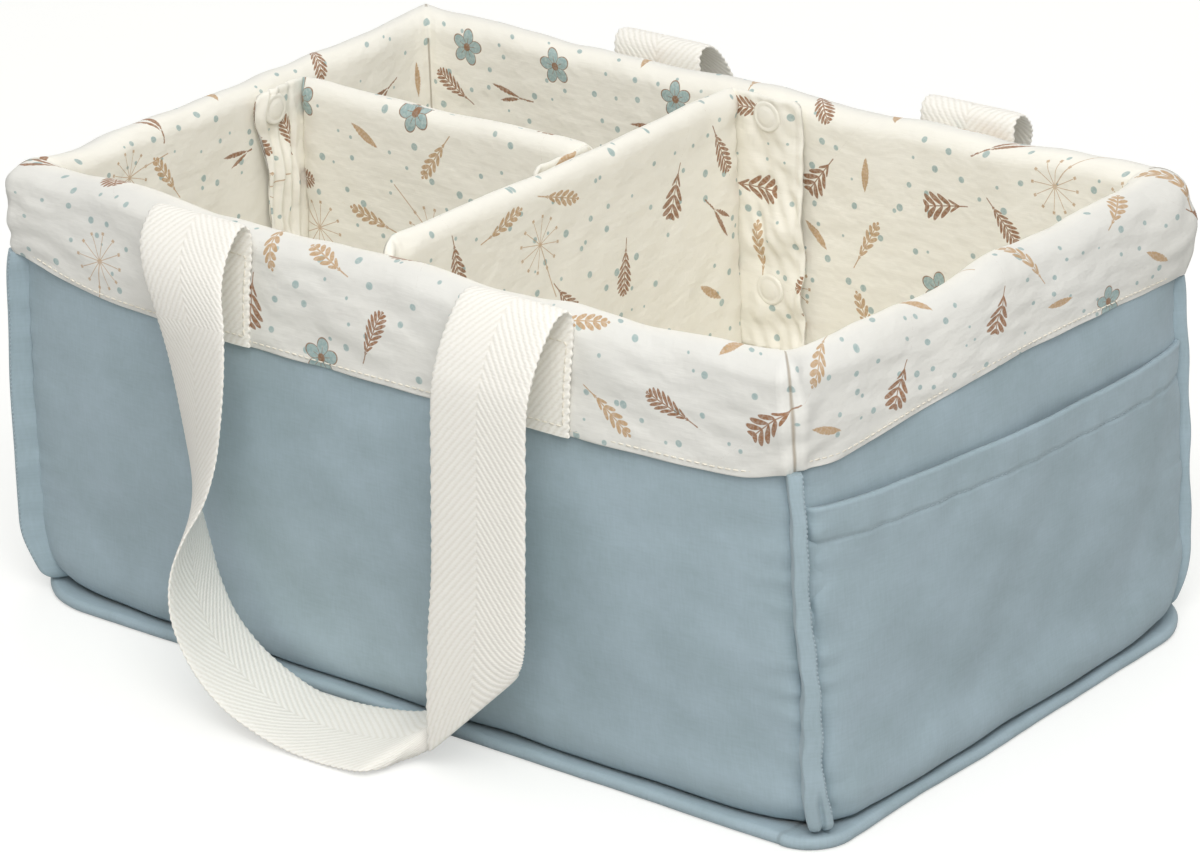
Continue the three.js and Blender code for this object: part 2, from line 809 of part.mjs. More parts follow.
function addFlaps() {
  for (const [name, flap] of Object.entries(flaps)) {
    const middle = flap.top - flapTopDrop - flapHeight / 2;
    const sites = snapSites.filter((site) => site.flap === flap);
    const upAxisSign = Math.sign(
      new THREE.Vector3(flap.out[0], flap.out[1], 0)
        .cross(new THREE.Vector3(flap.along[0], flap.along[1], 0))
        .z,
    );
    const holes = sites.map((site) => [
      snapInset - flapWidth / 2,
      upAxisSign * (site.height - middle),
      postRadius + contact,
    ]);
    const plate = roundedPlate(flapWidth / 2, flapHeight / 2, flapCorner, flapThickness, holes);
    addPiece(name, onFace(plate, flap, flapWidth / 2, middle, flapBack), printedCotton);
    for (const site of sites) {
      const stud = onFace(turnedPiece(studProfile()), flap, snapInset, site.height, 0);
      const socket = onFace(turnedPiece(socketProfile()), flap, snapInset, site.height, 0);
      addPiece(`${site.name}_snap_stud`, stud, snapPlastic);
      addPiece(`${site.name}_snap_cap`, socket, snapPlastic);
    }
  }
}

addShell();
addBase();
addHandles();
addDividers();
addFlaps();

export default caddy;
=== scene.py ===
"""Looks of the padded caddy: canvas walls, printed lining, padded dividers, webbing handles."""

import math
from functools import partialmethod

import bmesh
import bpy
import numpy as np
from mathutils import Matrix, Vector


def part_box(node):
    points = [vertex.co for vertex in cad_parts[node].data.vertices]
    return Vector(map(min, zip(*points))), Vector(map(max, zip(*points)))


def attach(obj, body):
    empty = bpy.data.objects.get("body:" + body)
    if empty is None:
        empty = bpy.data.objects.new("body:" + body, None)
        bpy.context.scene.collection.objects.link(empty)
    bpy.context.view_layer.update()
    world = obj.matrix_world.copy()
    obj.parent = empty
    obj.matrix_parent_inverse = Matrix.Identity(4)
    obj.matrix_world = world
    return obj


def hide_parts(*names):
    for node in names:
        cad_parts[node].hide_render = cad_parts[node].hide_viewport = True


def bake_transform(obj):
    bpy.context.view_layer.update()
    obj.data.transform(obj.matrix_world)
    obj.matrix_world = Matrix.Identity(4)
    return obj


bl_info = {
    "name": "Padded Caddy",
    "version": (1, 0, 0),
    "blender": (4, 5, 0),
    "location": "View3D > Sidebar > Caddy",
    "description": "Padded cotton caddy with webbing handles and snap-in dividers",
    "category": "Add Mesh",
}

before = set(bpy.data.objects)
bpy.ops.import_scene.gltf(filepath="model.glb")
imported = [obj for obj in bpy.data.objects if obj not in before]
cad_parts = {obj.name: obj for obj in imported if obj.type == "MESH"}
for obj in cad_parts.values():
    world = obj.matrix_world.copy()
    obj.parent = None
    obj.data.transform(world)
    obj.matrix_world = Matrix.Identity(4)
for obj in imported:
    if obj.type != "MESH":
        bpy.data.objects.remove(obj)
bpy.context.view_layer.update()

MM = 0.001
WALLS = ("front", "back", "right", "left")

# Plan directions of each wall, along it and out of it, and the axis that it runs along
ALONG = {"front": (1, 0), "back": (-1, 0), "right": (0, 1), "left": (0, -1)}
OUT = {"front": (0, -1), "back": (0, 1), "right": (1, 0), "left": (-1, 0)}
AXIS = {"front": "x", "back": "x", "right": "y", "left": "y"}

# Corners of the box by the signs of x and y: the seam's reach as a share, then in millimetres the
# walls' recess beside it, how far the foot draws in, the plan radius of the welt, and how far the
# cuff's hem is drawn up there and over what width
CORNERS = {
    (1, -1): dict(name="front_right", seam=0.9, recess=3.2, foot=3.5, radius=15, hem=4.2, wide=14),
    (1, 1): dict(name="back_right", seam=0.5, recess=1.3, foot=11, radius=34, hem=1.3, wide=14),
    (-1, 1): dict(name="back_left", seam=0.8, recess=2.4, foot=10, radius=30, hem=3.0, wide=14),
    (-1, -1): dict(name="front_left", seam=0.95, recess=1.4, foot=13, radius=38, hem=7.3, wide=33),
}

# How far each wall hangs out over the welt at its foot, and how far the cuff's hem rises in the
# middle of each wall, in millimetres
OVERHANG = {"front": 2.6, "back": 2.6, "right": 4.6, "left": 3.6}
HEM_RISE = {"front": 0.0, "back": 0.0, "right": 10.5, "left": 9.0}

# Places in millimetres: the level at which the cuff's length is measured, how far below the rim
# the walls end under the cuff, and where the lining starts
CUFF_LEVEL = 150
WALL_STOP = 8
LINING_FOOT = 8.3

# Dividers in millimetres: their middles, half the cross divider's thickness, their feet and tops,
# and how far their ends stop short of what they meet
CROSS_X = -10.0
CROSS_HALF = 5.5
LONG_Y = 24.0
DIVIDER_FOOT = 9.7
CROSS_TOP = 175
LONG_TOP = 172
DIVIDER_GAP = 0.9

# Tabs in millimetres: their sewn edges from the dividers' middles, how far they run on into the
# divider, how far they stand off the face, and the snaps' places along them and below their tops
CROSS_TAB = 4.24
LONG_TAB = -4.58
TAB_ROOT = 4.5
TAB_OFF = 4.4
SNAP_ALONG = 13
SNAP_DROPS = {"upper": 8, "lower": 78}

# The middle between the two legs of each handle, in millimetres along the box
HANDLE_MIDDLE = {"front": -3.0, "back": 9.5}

# A pocket's mouth starts this far below the hem and falls by this much along the wall, and its
# sides stay this far inside the corners, in millimetres
POCKET_DROP = 8.9
POCKET_FALL = 13.2
POCKET_MARGIN = 3.2

# Points of the lining along each wall, and points of a strap from station to station
LINING_STEPS = {"front": 234, "right": 146, "back": 234, "left": 146}
STRAP_STEPS = 18

# Half the studio floor's width in millimetres
FLOOR_HALF = 6000.0

# Lights: name, place and aim in metres, power in watts, width in metres
LAMPS = (
    ("overhead", (0.1, -0.3, 2.1), (0.05, 0.05, 0.1), 13.0, 2.2),
    ("key", (1.1, -1.2, 1.55), (0, 0, 0.1), 27.0, 1.3),
    ("fill", (-1.0, 1.6, 1.3), (0, 0, 0.1), 8.0, 1.5),
)
WORLD_LIGHT = 0.36

# The photograph's camera: azimuth, elevation and roll in degrees, place in metres, lens and
# sensor width in millimetres
CAMERA_TURN = (39.618, 22.460, -1.890)
CAMERA_PLACE = (1.111381, -1.340921, 0.791298)
CAMERA_LENS = 151.9686
CAMERA_SENSOR = 36.0


# Sizes and colours


def length(name, description, default):
    """A length property in metres, given here in millimetres."""
    return bpy.props.FloatProperty(
        name=name, description=description, default=default * MM, unit="LENGTH", precision=4
    )


def colour(name, description, code):
    """A colour property whose default is an sRGB hex code."""
    return bpy.props.FloatVectorProperty(
        name=name, description=description, default=linear(code), subtype="COLOR", size=3,
        min=0.0, max=1.0,
    )


def linear(code):
    """Turns an sRGB hex code into linear red, green and blue."""
    values = np.array([int(code[i : i + 2], 16) for i in (1, 3, 5)]) / 255
    high = ((values + 0.055) / 1.055) ** 2.4
    return tuple(float(v) for v in np.where(values <= 0.04045, values / 12.92, high))


class CaddySizes(bpy.types.PropertyGroup):
    base_length: length("Base length", "Length along the base seam", 370)
    base_depth: length("Base depth", "Depth along the base seam", 228)
    rim_height: length("Rim height", "Height of the rim at the corners", 176)
    end_wall: length("End wall", "Thickness of the padded end walls", 18.5)
    side_wall: length("Side wall", "Thickness of the padded long walls", 10.5)
    end_lean: length("End lean", "How far the end walls lean in at the rim", 6.5)
    side_spread: length("Side spread", "How far the long walls spread at the rim", 2.5)
    wall_bulge: length("Wall bulge", "Broad bow of each padded wall", 6)
    wall_puff: length("Wall puff", "Rise of the padding beside each seam", 3)
    rim_sag: length("Rim sag", "Dip of the rim between the corners", 3.5)
    cloth: length("Lining", "Thickness of the printed lining", 1.4)
    cuff_depth: length("Cuff depth", "Height of the folded cuff from rim to hem", 43.7)
    wall_bottom: length("Wall bottom", "Height at which the walls start", 4.8)
    rim_corner: length("Rim corner", "Softening of the rim and cuff corners in plan", 3)
    seam_reach: length("Seam reach", "How far the corner seams stand proud", 6.9)
    seam_thickness: length("Seam thickness", "Width of the corner seams at their top", 5.0)
    welt_reach: length("Welt reach", "How far the base welt stands proud", 8.8)
    welt_height: length("Welt height", "Height of the base welt", 4.5)
    pocket_cloth: length("Pocket cloth", "Thickness of the end pockets", 1.4)
    pocket_hem: length("Pocket hem", "Depth of the hem at the pocket's mouth", 13)
    webbing_width: length("Webbing width", "Width of the handle webbing", 42)
    webbing_thickness: length("Webbing thickness", "Thickness of the handle webbing", 1.6)
    handle_spacing: length("Handle spacing", "Distance between the two legs of a handle", 147)
    handle_reach: length("Handle reach", "Scale of the handle's route outwards", 48)
    divider_thickness: length("Divider thickness", "Thickness of the padded dividers", 11)
    flap_width: length("Tab width", "Width of the snap tabs", 28)
    cap_radius: length("Snap radius", "Radius of the snap caps", 6.2)
    stitch: length("Stitch", "Distance from stitch to stitch", 3.1)
    thread: length("Thread", "Radius of the sewing thread", 0.27)


class CaddyColours(bpy.types.PropertyGroup):
    canvas: colour("Canvas", "Blue-grey cotton canvas", "#ABBDC6")
    canvas_shade: colour("Canvas shade", "Greyer, darker threads of the canvas", "#9AACB2")
    # The lining and its cuff are one cloth. Its two grounds are painted light: creamier inside the box as
    # painted warm bounce light, and darker and greyer on the cuff as painted shade
    ground: colour("Print ground", "Printed cotton where it lines the box", "#F8F5EA")
    cuff_shaded_ground: colour("Cuff ground", "Printed cotton on the cuff, seen against its face", "#E6E5DF")
    motif_brown: colour("Brown motifs", "Sprigs of the print", "#95663F")
    motif_tan: colour("Tan motifs", "Leaves of the print", "#C09A6C")
    motif_sage: colour("Sage motifs", "Dots and blossoms of the print", "#97B1B0")
    webbing: colour("Webbing", "Cotton webbing", "#FBF8F0")
    # The webbing shade is painted shade in the webbing's hollows; thread, board and floor are mixed
    # towards it as their own darker tone
    webbing_shade: colour("Webbing shade", "Hollows of the webbing", "#E2DCCD")
    snap: colour("Snaps", "Moulded snap plastic", "#F4F1E6")
    thread_pale: colour("Pale thread", "Thread of the lining and webbing", "#EDE7D8")
    thread_blue: colour("Blue thread", "Thread of the canvas", "#9DB0BA")
    # The board colour is also painted into the lining's corner seams as painted shade
    board: colour("Board", "Stiffening board", "#9C8A72")
    floor: colour("Floor", "Studio floor", "#C9C9C7")


def size(name):
    """A size in millimetres."""
    return getattr(bpy.context.scene.caddy_sizes, name) / MM


def tint(name):
    """A colour as linear red, green, blue and alpha."""
    return (*getattr(bpy.context.scene.caddy_colours, name), 1.0)


# Meshes


def new_piece(name, points, faces, uv=None, smooth=True):
    """Makes an object from points and cloth coordinates in millimetres, one pair for each point."""
    mesh = bpy.data.meshes.new(name)
    mesh.from_pydata((np.asarray(points, float) * MM).tolist(), [], faces)
    if uv is not None:
        layer = mesh.uv_layers.new(name="cloth")
        corners = np.empty(len(mesh.loops), dtype=np.int32)
        mesh.loops.foreach_get("vertex_index", corners)
        layer.data.foreach_set("uv", (np.asarray(uv, float) * MM)[corners].ravel())
    mesh.validate()
    mesh.polygons.foreach_set("use_smooth", np.full(len(mesh.polygons), smooth))
    mesh.update()
    piece = bpy.data.objects.new(name, mesh)
    bpy.context.collection.objects.link(piece)
    return piece


def outward(points, faces):
    """The faces, turned over if they face in: if a . (b x c) + a . (c x d) sums to less than 0."""
    quads = np.array([face[:4] for face in faces if len(face) >= 4])
    a, b, c, d = (points[quads[:, i]] - points.mean(axis=0) for i in range(4))
    volume = (a * (np.cross(b, c) + np.cross(c, d))).sum()
    return faces if volume >= 0 else [face[::-1] for face in faces]


def grid_faces(rows, columns, wrap_rows=False, caps=True):
    """Quads of a grid of points. Rows run along a path and columns round its profile."""
    r = np.arange(rows if wrap_rows else rows - 1)[:, None]
    c = np.arange(columns)[None, :]
    r2, c2 = (r + 1) % rows, (c + 1) % columns
    quads = np.stack([r * columns + c, r * columns + c2, r2 * columns + c2, r2 * columns + c], axis=-1)
    faces = quads.reshape(-1, 4).tolist()
    if caps and not wrap_rows:
        faces.append(list(range(columns))[::-1])
        faces.append([(rows - 1) * columns + i for i in range(columns)])
    return faces


def loft(name, grid, u, v, **options):
    """A closed body from a grid [row, column, xyz] of points and their cloth coordinates.

    Where both ends are capped, the edges round them stay sharp.
    """
    rows, columns = grid.shape[:2]
    points = grid.reshape(-1, 3)
    uv = np.stack(np.broadcast_arrays(u, v), axis=-1).reshape(-1, 2)
    piece = new_piece(name, points, outward(points, grid_faces(rows, columns, **options)), uv)
    if not options:
        ends = np.empty(len(piece.data.edges) * 2, dtype=np.int32)
        piece.data.edges.foreach_get("vertices", ends)
        row = ends.reshape(-1, 2) // columns
        level = (row[:, 0] == row[:, 1]) & ((row[:, 0] == 0) | (row[:, 0] == rows - 1))
        piece.data.attributes.new("sharp_edge", "BOOLEAN", "EDGE").data.foreach_set("value", level)
    return piece


def round_piece(name, rings, poles, flat_cloth=False):
    """A closed body from rings [row, column, xyz] and the two points in which its ends close."""
    rows, columns = rings.shape[:2]
    points = np.concatenate([rings.reshape(-1, 3), poles])
    ring, last = np.arange(columns), (rows - 1) * columns
    after, pole = (ring + 1) % columns, np.full(columns, rows * columns)
    faces = grid_faces(rows, columns, caps=False)
    faces += np.stack([pole, after, ring], axis=1).tolist()
    faces += np.stack([pole + 1, last + ring, last + after], axis=1).tolist()
    return new_piece(name, points, outward(points, faces), points[:, :2] if flat_cloth else None)


def add_values(piece, name, values):
    """Gives a piece a named value for each of its points."""
    piece.data.attributes.new(name, "FLOAT", "POINT").data.foreach_set("value", values.ravel())


def dress(piece, look, body, *nodes, fill=None):
    """Gives a piece its material and body, and hides the CAD nodes it stands for."""
    piece.data.materials.append(material(look))
    if body:
        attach(piece, body)
    if nodes:
        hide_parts(*nodes)
    return piece


def node_box(name):
    """The lowest and highest corner of a CAD node in millimetres."""
    return np.array(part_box(name)) / MM


# Curves and waves


def travel(path):
    """Distance along a path from its first point to each point."""
    return np.concatenate([[0], np.cumsum(np.linalg.norm(np.diff(path, axis=0), axis=1))])


def smooth_path(stations, pieces):
    """Catmull-Rom curve through the rows of stations, each span cut into equal shares.

    p(t) = (2 b + (c - a) t + (2 a - 5 b + 4 c - d) t^2 + (3 b - a - 3 c + d) t^3) / 2
    """
    s = np.asarray(stations, float)
    padded = np.vstack([2 * s[0] - s[1], s, 2 * s[-1] - s[-2]])
    a, b, c, d = (padded[i : len(s) - 1 + i, None, :] for i in range(4))
    t = (np.arange(pieces) / pieces)[None, :, None]
    curve = 2 * b + (c - a) * t + (2 * a - 5 * b + 4 * c - d) * t**2
    curve = (curve + (3 * b - a - 3 * c + d) * t**3) / 2
    return np.vstack([curve.reshape(-1, s.shape[1]), s[-1:]])


def resample(path, steps):
    """Points at equal distances along an open path."""
    at = travel(path)
    even = np.linspace(0, at[-1], steps)
    return np.stack([np.interp(even, at, column) for column in path.T], axis=1)


def ripple(x, y, seed, scale):
    """Smooth unevenness, mostly from -1 to 1: five plane waves of about one wavelength, over 3."""
    maker = np.random.default_rng(seed)
    turns = maker.uniform(0, 2 * math.pi, 5)
    phases = maker.uniform(0, 2 * math.pi, 5)
    waves = maker.uniform(0.7, 1.4, 5) * 2 * math.pi / scale
    total = sum(
        np.sin(w * (x * math.cos(t) + y * math.sin(t)) + p)
        for w, t, p in zip(waves, turns, phases)
    )
    return total / 3


def bump_at(x, centre, width):
    """A bell of height 1 at centre: exp(-((x - centre) / width)^2)."""
    return np.exp(-(((x - centre) / width) ** 2))


def share(x, width):
    """x / width, kept between 0 and 1."""
    return np.clip(x / width, 0, 1)


# The box's walls


def corner_half(side, z):
    """Half the box's outside at height z along an axis: 'x' for its length, 'y' for its depth."""
    if side == "x":
        return size("base_length") / 2 - size("end_lean") * z / size("rim_height")
    return size("base_depth") / 2 + size("side_spread") * z / size("rim_height")


def inner_half(side):
    """Half the inside between the linings along an axis."""
    if side == "x":
        return size("base_length") / 2 - size("end_wall")
    return size("base_depth") / 2 - size("side_wall")


def hem_height():
    """Height of the cuff's hem before it is drawn up."""
    return size("rim_height") - size("cuff_depth")


def cuff_out():
    """How far the cuff's face stands off the canvas wall."""
    return size("cloth") + 0.3


def rim_thickness():
    """Thickness of a long wall at the rim, with its lining and cuff."""
    return size("side_wall") + size("side_spread") + cuff_out()


def swell(u, z):
    """Padding: bulge (1 - u^2) sin(pi s^1.2) + puff (1 - |u|^10) (1 - |2 s - 1|^8), s = z / rim."""
    s = share(z, size("rim_height"))
    bow = size("wall_bulge") * (1 - u * u) * np.sin(math.pi * s**1.2)
    return bow + size("wall_puff") * (1 - np.abs(u) ** 10) * (1 - np.abs(2 * s - 1) ** 8)


def wall_points(wall, u, depth, extra, z):
    """Places on a wall. u runs -1 to 1 along it, depth 0 to 1 from lining to outer face.

    offset = inner + depth (outer + swell - inner) + extra, and the ends are mitred with
    side = u (neighbour's offset at its corner). The rim dips by sag (1 - u^6) (z / rim)^4.
    """
    crossing = AXIS[wall]
    own = "y" if crossing == "x" else "x"
    u, depth, extra, z = np.broadcast_arrays(u, depth, extra, z)
    inner, outer = inner_half(own), corner_half(own, z) + swell(u, z)
    offset = inner + depth * (outer - inner) + extra
    side_inner = inner_half(crossing)
    side = u * (side_inner + depth * (corner_half(crossing, z) - side_inner) + extra)
    drop = size("rim_sag") * (1 - u**6) * (z / size("rim_height")) ** 4
    along, out = ALONG[wall], OUT[wall]
    plan = [along[i] * side + out[i] * offset for i in (0, 1)]
    return np.stack([*plan, z - drop], axis=-1)


def corner_value(points, key):
    """A value of CORNERS for the corner that each point is nearest to."""
    x, y = points[..., 0], points[..., 1]
    return sum(row[key] * ((x * sx > 0) & (y * sy > 0)) for (sx, sy), row in CORNERS.items())


def hem_lift(wall, u):
    """How far the cuff's hem is drawn up: rise cos(pi u / 2)^0.6 + corner exp(-(d / width)^2)."""
    lift = HEM_RISE[wall] * np.cos(math.pi * np.clip(u, -1, 1) / 2) ** 0.6
    for end in (-1, 1):
        row = CORNERS[tuple(end * a + o for a, o in zip(ALONG[wall], OUT[wall]))]
        away = (1 - end * u) * corner_half(AXIS[wall], CUFF_LEVEL)
        lift = lift + row["hem"] * bump_at(away, 0, row["wide"])
    return lift


def tuck_foot(points):
    """Draws the foot of the box's corners in: reach ((30 - z) / 30)^1.8 exp(-(d / 24)^2) diagonally.

    d is the distance in plan from the corner of the base seam.
    """
    x, y, z = points[..., 0], points[..., 1], points[..., 2]
    gap_x = size("base_length") / 2 - np.abs(x)
    gap_y = size("base_depth") / 2 - np.abs(y)
    near = np.exp(-(gap_x**2 + gap_y**2) / 24**2)
    step = corner_value(points, "foot") / math.sqrt(2) * share(30 - z, 30) ** 1.8 * near
    return np.stack([x - np.sign(x) * step, y - np.sign(y) * step, z], axis=-1)


def canvas_relief(wall, u, z, half, edge, seed, fold, gathers, waves):
    """Relief that a canvas wall and its pocket share, by the distance edge from the upright seam.

    Pull is overhang exp(-((z - 12) / 13)^2) - recess exp(-edge / 3). A fold (a, b, c, d) is
    a sin(z / 10 + b sin(z / c + seed)) exp(-edge / d), a gather (a, pitch, d) is
    a recess sin(z / pitch + wander) exp(-edge / d), and a wave (a, seed, scale) is a ripple.
    """
    recess = corner_value(wall_points(wall, u, 1.0, 0.0, z), "recess")
    pull = OVERHANG[wall] * bump_at(z, 12, 13) * share(edge, 16) - recess * np.exp(-edge / 3)
    rise, bend, slow, wide = fold
    folds = rise * np.sin(z / 10 + bend * np.sin(z / slow + seed)) * np.exp(-edge / wide)
    wander = 1.5 * np.sin(z / 8 + seed) + 0.9 * ripple(z, u * 9, seed + 6, 40)
    pleats = sum(a * recess * np.sin(z / pitch + wander) * np.exp(-edge / d) for a, pitch, d in gathers)
    soft = sum(a * ripple(u * half, z, own_seed, scale) for a, own_seed, scale in waves)
    return pull, folds, pleats * share(edge, 2), soft * share(edge, 8)


def make_wall(name):
    """One canvas wall: a padded panel whose edges turn in towards its seams.

    Its face is wall_points at depth 1 with canvas_relief on it, drawn in further by
    2.6 exp(-edge / 0.9) at the upright seams and 1.8 exp(-rise / 2) at its lower edge.
    """
    half = corner_half(AXIS[name], 60)
    low, top = size("wall_bottom"), size("rim_height") - WALL_STOP
    u = np.sin(np.linspace(-1, 1, 150) * math.pi / 2) * 0.999
    z = np.concatenate([np.linspace(low, 30, 26)[:-1], np.linspace(30, top, 106)])
    uu, zz = np.meshgrid(u, z, indexing="ij")
    edge, rise = (1 - np.abs(uu)) * half, zz - low
    seed = WALLS.index(name)
    pull, folds, pleats, soft = canvas_relief(
        name, uu, zz, half, edge, seed, fold=(0.5, 2.0, 31, 20),
        gathers=((0.16, 2.1, 9), (0.06, 0.95, 4)), waves=((0.9, seed + 3, 120), (0.3, seed + 5, 38)),
    )
    pull = pull - 2.6 * np.exp(-edge / 0.9) - 1.8 * np.exp(-rise / 2)
    hem = 0.5 * np.sin(uu * half / 11 + 1.5 * ripple(uu * 60, 0, seed + 9, 40)) * np.exp(-rise / 13)
    extra = pull + pleats + soft + (folds + hem) * share(edge, 8)
    face = wall_points(name, uu, 1.0, extra, zz)
    back = wall_points(name, uu[:, ::-6] * 0.985, 1.0, -5.0, zz[:, ::-6])
    grid = tuck_foot(np.concatenate([face, back], axis=1))
    piece = loft(f"wall_{name}", grid, u[:, None] * half, np.concatenate([z, z[::-6]]))
    dress(piece, "canvas", "caddy", f"outer_panel_{name}", f"wall_pad_{name}", fill=0.55)


def profile_rows(depth, extra, height):
    """Rows of depth, extra and height, from numbers and lists of numbers."""
    return np.stack(np.broadcast_arrays(depth, extra, height), axis=-1).astype(float)


def lining_profile():
    """The lining from the floor up, over the rim, down to the hem and back under the cuff.

    Gives rows of depth, extra and height, and the distance along the cloth. The roll over the
    rim is half an ellipse.
    """
    thick, cuff, hem = rim_thickness(), cuff_out(), hem_height()
    rise = thick / 2
    high = size("rim_height") - rise
    roll = np.linspace(math.pi, 0, 22)
    lip = np.linspace(0.3, math.pi - 0.1, 5)
    under = np.linspace(0.2, math.pi - 0.2, 8)
    across, tucked = (1 + np.cos(roll)) / 2, (1 + np.cos(under)) / 2
    rows = np.vstack(
        [
            profile_rows(0, 0, np.linspace(LINING_FOOT, high, 44)[:-1]),
            profile_rows(across, cuff * across, high + rise * np.sin(roll)),
            profile_rows(1, cuff, np.linspace(high, hem + 0.8, 20)[1:]),
            profile_rows(1, cuff - 0.75 + 0.75 * np.cos(lip), hem + 0.8 - 0.8 * np.sin(lip)),
            profile_rows(1, 0.2, np.linspace(hem + 3, high, 5)),
            profile_rows(tucked, cuff - (cuff - 0.2) * np.cos(under), high + (rise - 1.4) * np.sin(under)),
            profile_rows(0, size("cloth"), np.linspace(high, LINING_FOOT, 5)),
        ]
    )
    return rows, travel(np.c_[rows[:, 1] + rows[:, 0] * (thick - cuff), rows[:, 2]])


def make_lining():
    """The printed lining with its cuff, one ring of cloth round all four walls.

    Each profile row makes a closed plan curve through the four walls. Its corners are softened
    by a moving average along the curve, and creases are laid on it.
    """
    rows, run = lining_profile()
    depth, level = rows[:, 0], rows[:, 2]
    low, top = hem_height(), size("rim_height") - WALL_STOP
    ring, around, beside, start = [], [], [], 0.0
    for name, steps in LINING_STEPS.items():
        u = np.linspace(-1, 1, steps, endpoint=False)
        half = corner_half(AXIS[name], CUFF_LEVEL)
        height = level + depth * share(top - level, top - low) * hem_lift(name, u)[:, None]
        ring.append(wall_points(name, u[:, None], depth, rows[:, 1], height))
        around.append(start + (u + 1) * half)
        beside.append(np.clip(10 - (1 - np.abs(u)) * half, 0, 10))
        start += 2 * half
    ring, around, beside = (np.concatenate(parts) for parts in (ring, around, beside))
    ring = soften_ring(ring, size("rim_corner") * (0.55 + 0.45 * depth))
    ring = ring + lining_creases(ring, rows, around, start)
    ring, beside = (np.concatenate([part, part[:1]]) for part in (ring, beside))
    piece = loft("lining", ring, np.append(around, start)[:, None], run, caps=False)
    # The seam values mark where a painted shade darkens the lining along its corner seams
    add_values(piece, "seam", beside[:, None] * ((depth > 0.35) | (level < 165)))
    add_values(piece, "cuff", np.broadcast_to(np.clip(depth * 2 - 0.5, 0, 1), ring.shape[:2]))
    merge_doubles(piece)
    dress(piece, "printed_cotton", "caddy", *[f"lining_{wall}" for wall in WALLS], fill=0.5)


def soften_ring(ring, radius):
    """Rounds the plan corners of a closed ring: a moving average of about radius along it."""
    plan = ring[:, :, :2]
    step = np.linalg.norm(np.roll(plan, -1, axis=0) - plan, axis=2).mean()
    total = plan.copy()
    weight = np.ones(plan.shape[1])
    for k in range(1, int(math.ceil(radius.max() / step)) + 1):
        part = np.clip(radius / step - (k - 1), 0, 1)
        total += part[:, None] * (np.roll(plan, k, axis=0) + np.roll(plan, -k, axis=0))
        weight += 2 * part
    return np.concatenate([total / weight[:, None], ring[:, :, 2:]], axis=2)


def lining_creases(ring, rows, around, total):
    """Small pushes out of the cloth: waves on the cuff, dips at the corner seams, folds inside.

    The cuff's waves and puckers fade in with depth, the folds inside with 1 - depth, and the rim
    sways and lifts by two ripples. near is the distance along the cloth from a corner.
    """
    middle = ring[:, :, :2].mean(axis=0, keepdims=True)
    tangent = np.roll(ring, -1, axis=0) - np.roll(ring, 1, axis=0)
    tangent /= np.linalg.norm(tangent[:, :, :2], axis=2, keepdims=True) + 1e-9
    out = np.stack([tangent[:, :, 1], -tangent[:, :, 0]], axis=2)
    out *= np.sign(((ring[:, :, :2] - middle) * out).sum(axis=2, keepdims=True))
    s, z = around[:, None], rows[None, :, 2]
    cuff = np.clip(rows[None, :, 0] * 2 - 1, 0, 1)
    long_side, short_side = (2 * corner_half(axis, CUFF_LEVEL) for axis in "xy")
    corners = np.cumsum([0, long_side, short_side, long_side])
    near = np.min(np.abs((s[:, :, None] - corners + total / 2) % total - total / 2), axis=2)
    waves = 0.6 * ripple(s, z * 2, 21, 60) + 0.3 * ripple(s, z * 3, 22, 24)
    pucker = 0.7 * np.sin((z * 1.6 - s) / 4.6 + ripple(s, z, 26, 30)) * np.exp(-near / 13)
    seam = 0.6 * bump_at(near, 3.2, 1.9) - 1.7 * bump_at(near, 0, 1.2)
    inside = 0.6 * ripple(s, z, 23, 80) + 0.5 * np.sin(z / 13 + s / 37) * np.exp(-near / 30)
    for level, slow, wide in ((122, 47.0, 2.6), (86, 71.0, 3.4), (140, 33.0, 2.2)):
        crease = bump_at(z, level + 7 * np.sin(s / slow), wide)
        inside = inside + 0.8 * crease * np.clip(np.sin(s / (slow * 0.9) + level), 0, 1)
    rim = share(z - 128, 40)
    sway = rim * (0.9 * ripple(s, 0 * z, 25, 75) + 0.35 * ripple(s, 0 * z, 27, 26))
    full = np.sin(math.pi * share(z - 132, 44)) * share(z - 130, 6)
    push_out = np.where(np.abs(s - corners[2]) < 60, 5.0, 2.4) * bump_at(near, 0, 22) * full
    push = cuff * (waves + pucker + seam + push_out) + (1 - cuff) * (inside - 0.6 * seam) + sway
    lift = rim * (1.0 * ripple(s, 0 * z, 24, 85) + 0.3 * ripple(s, 0 * z, 28, 30))
    return np.concatenate([out * push[:, :, None], lift[:, :, None]], axis=2)


def merge_doubles(piece):
    """Welds points that lie together."""
    work = bmesh.new()
    work.from_mesh(piece.data)
    bmesh.ops.remove_doubles(work, verts=work.verts, dist=1e-6)
    work.to_mesh(piece.data)
    work.free()


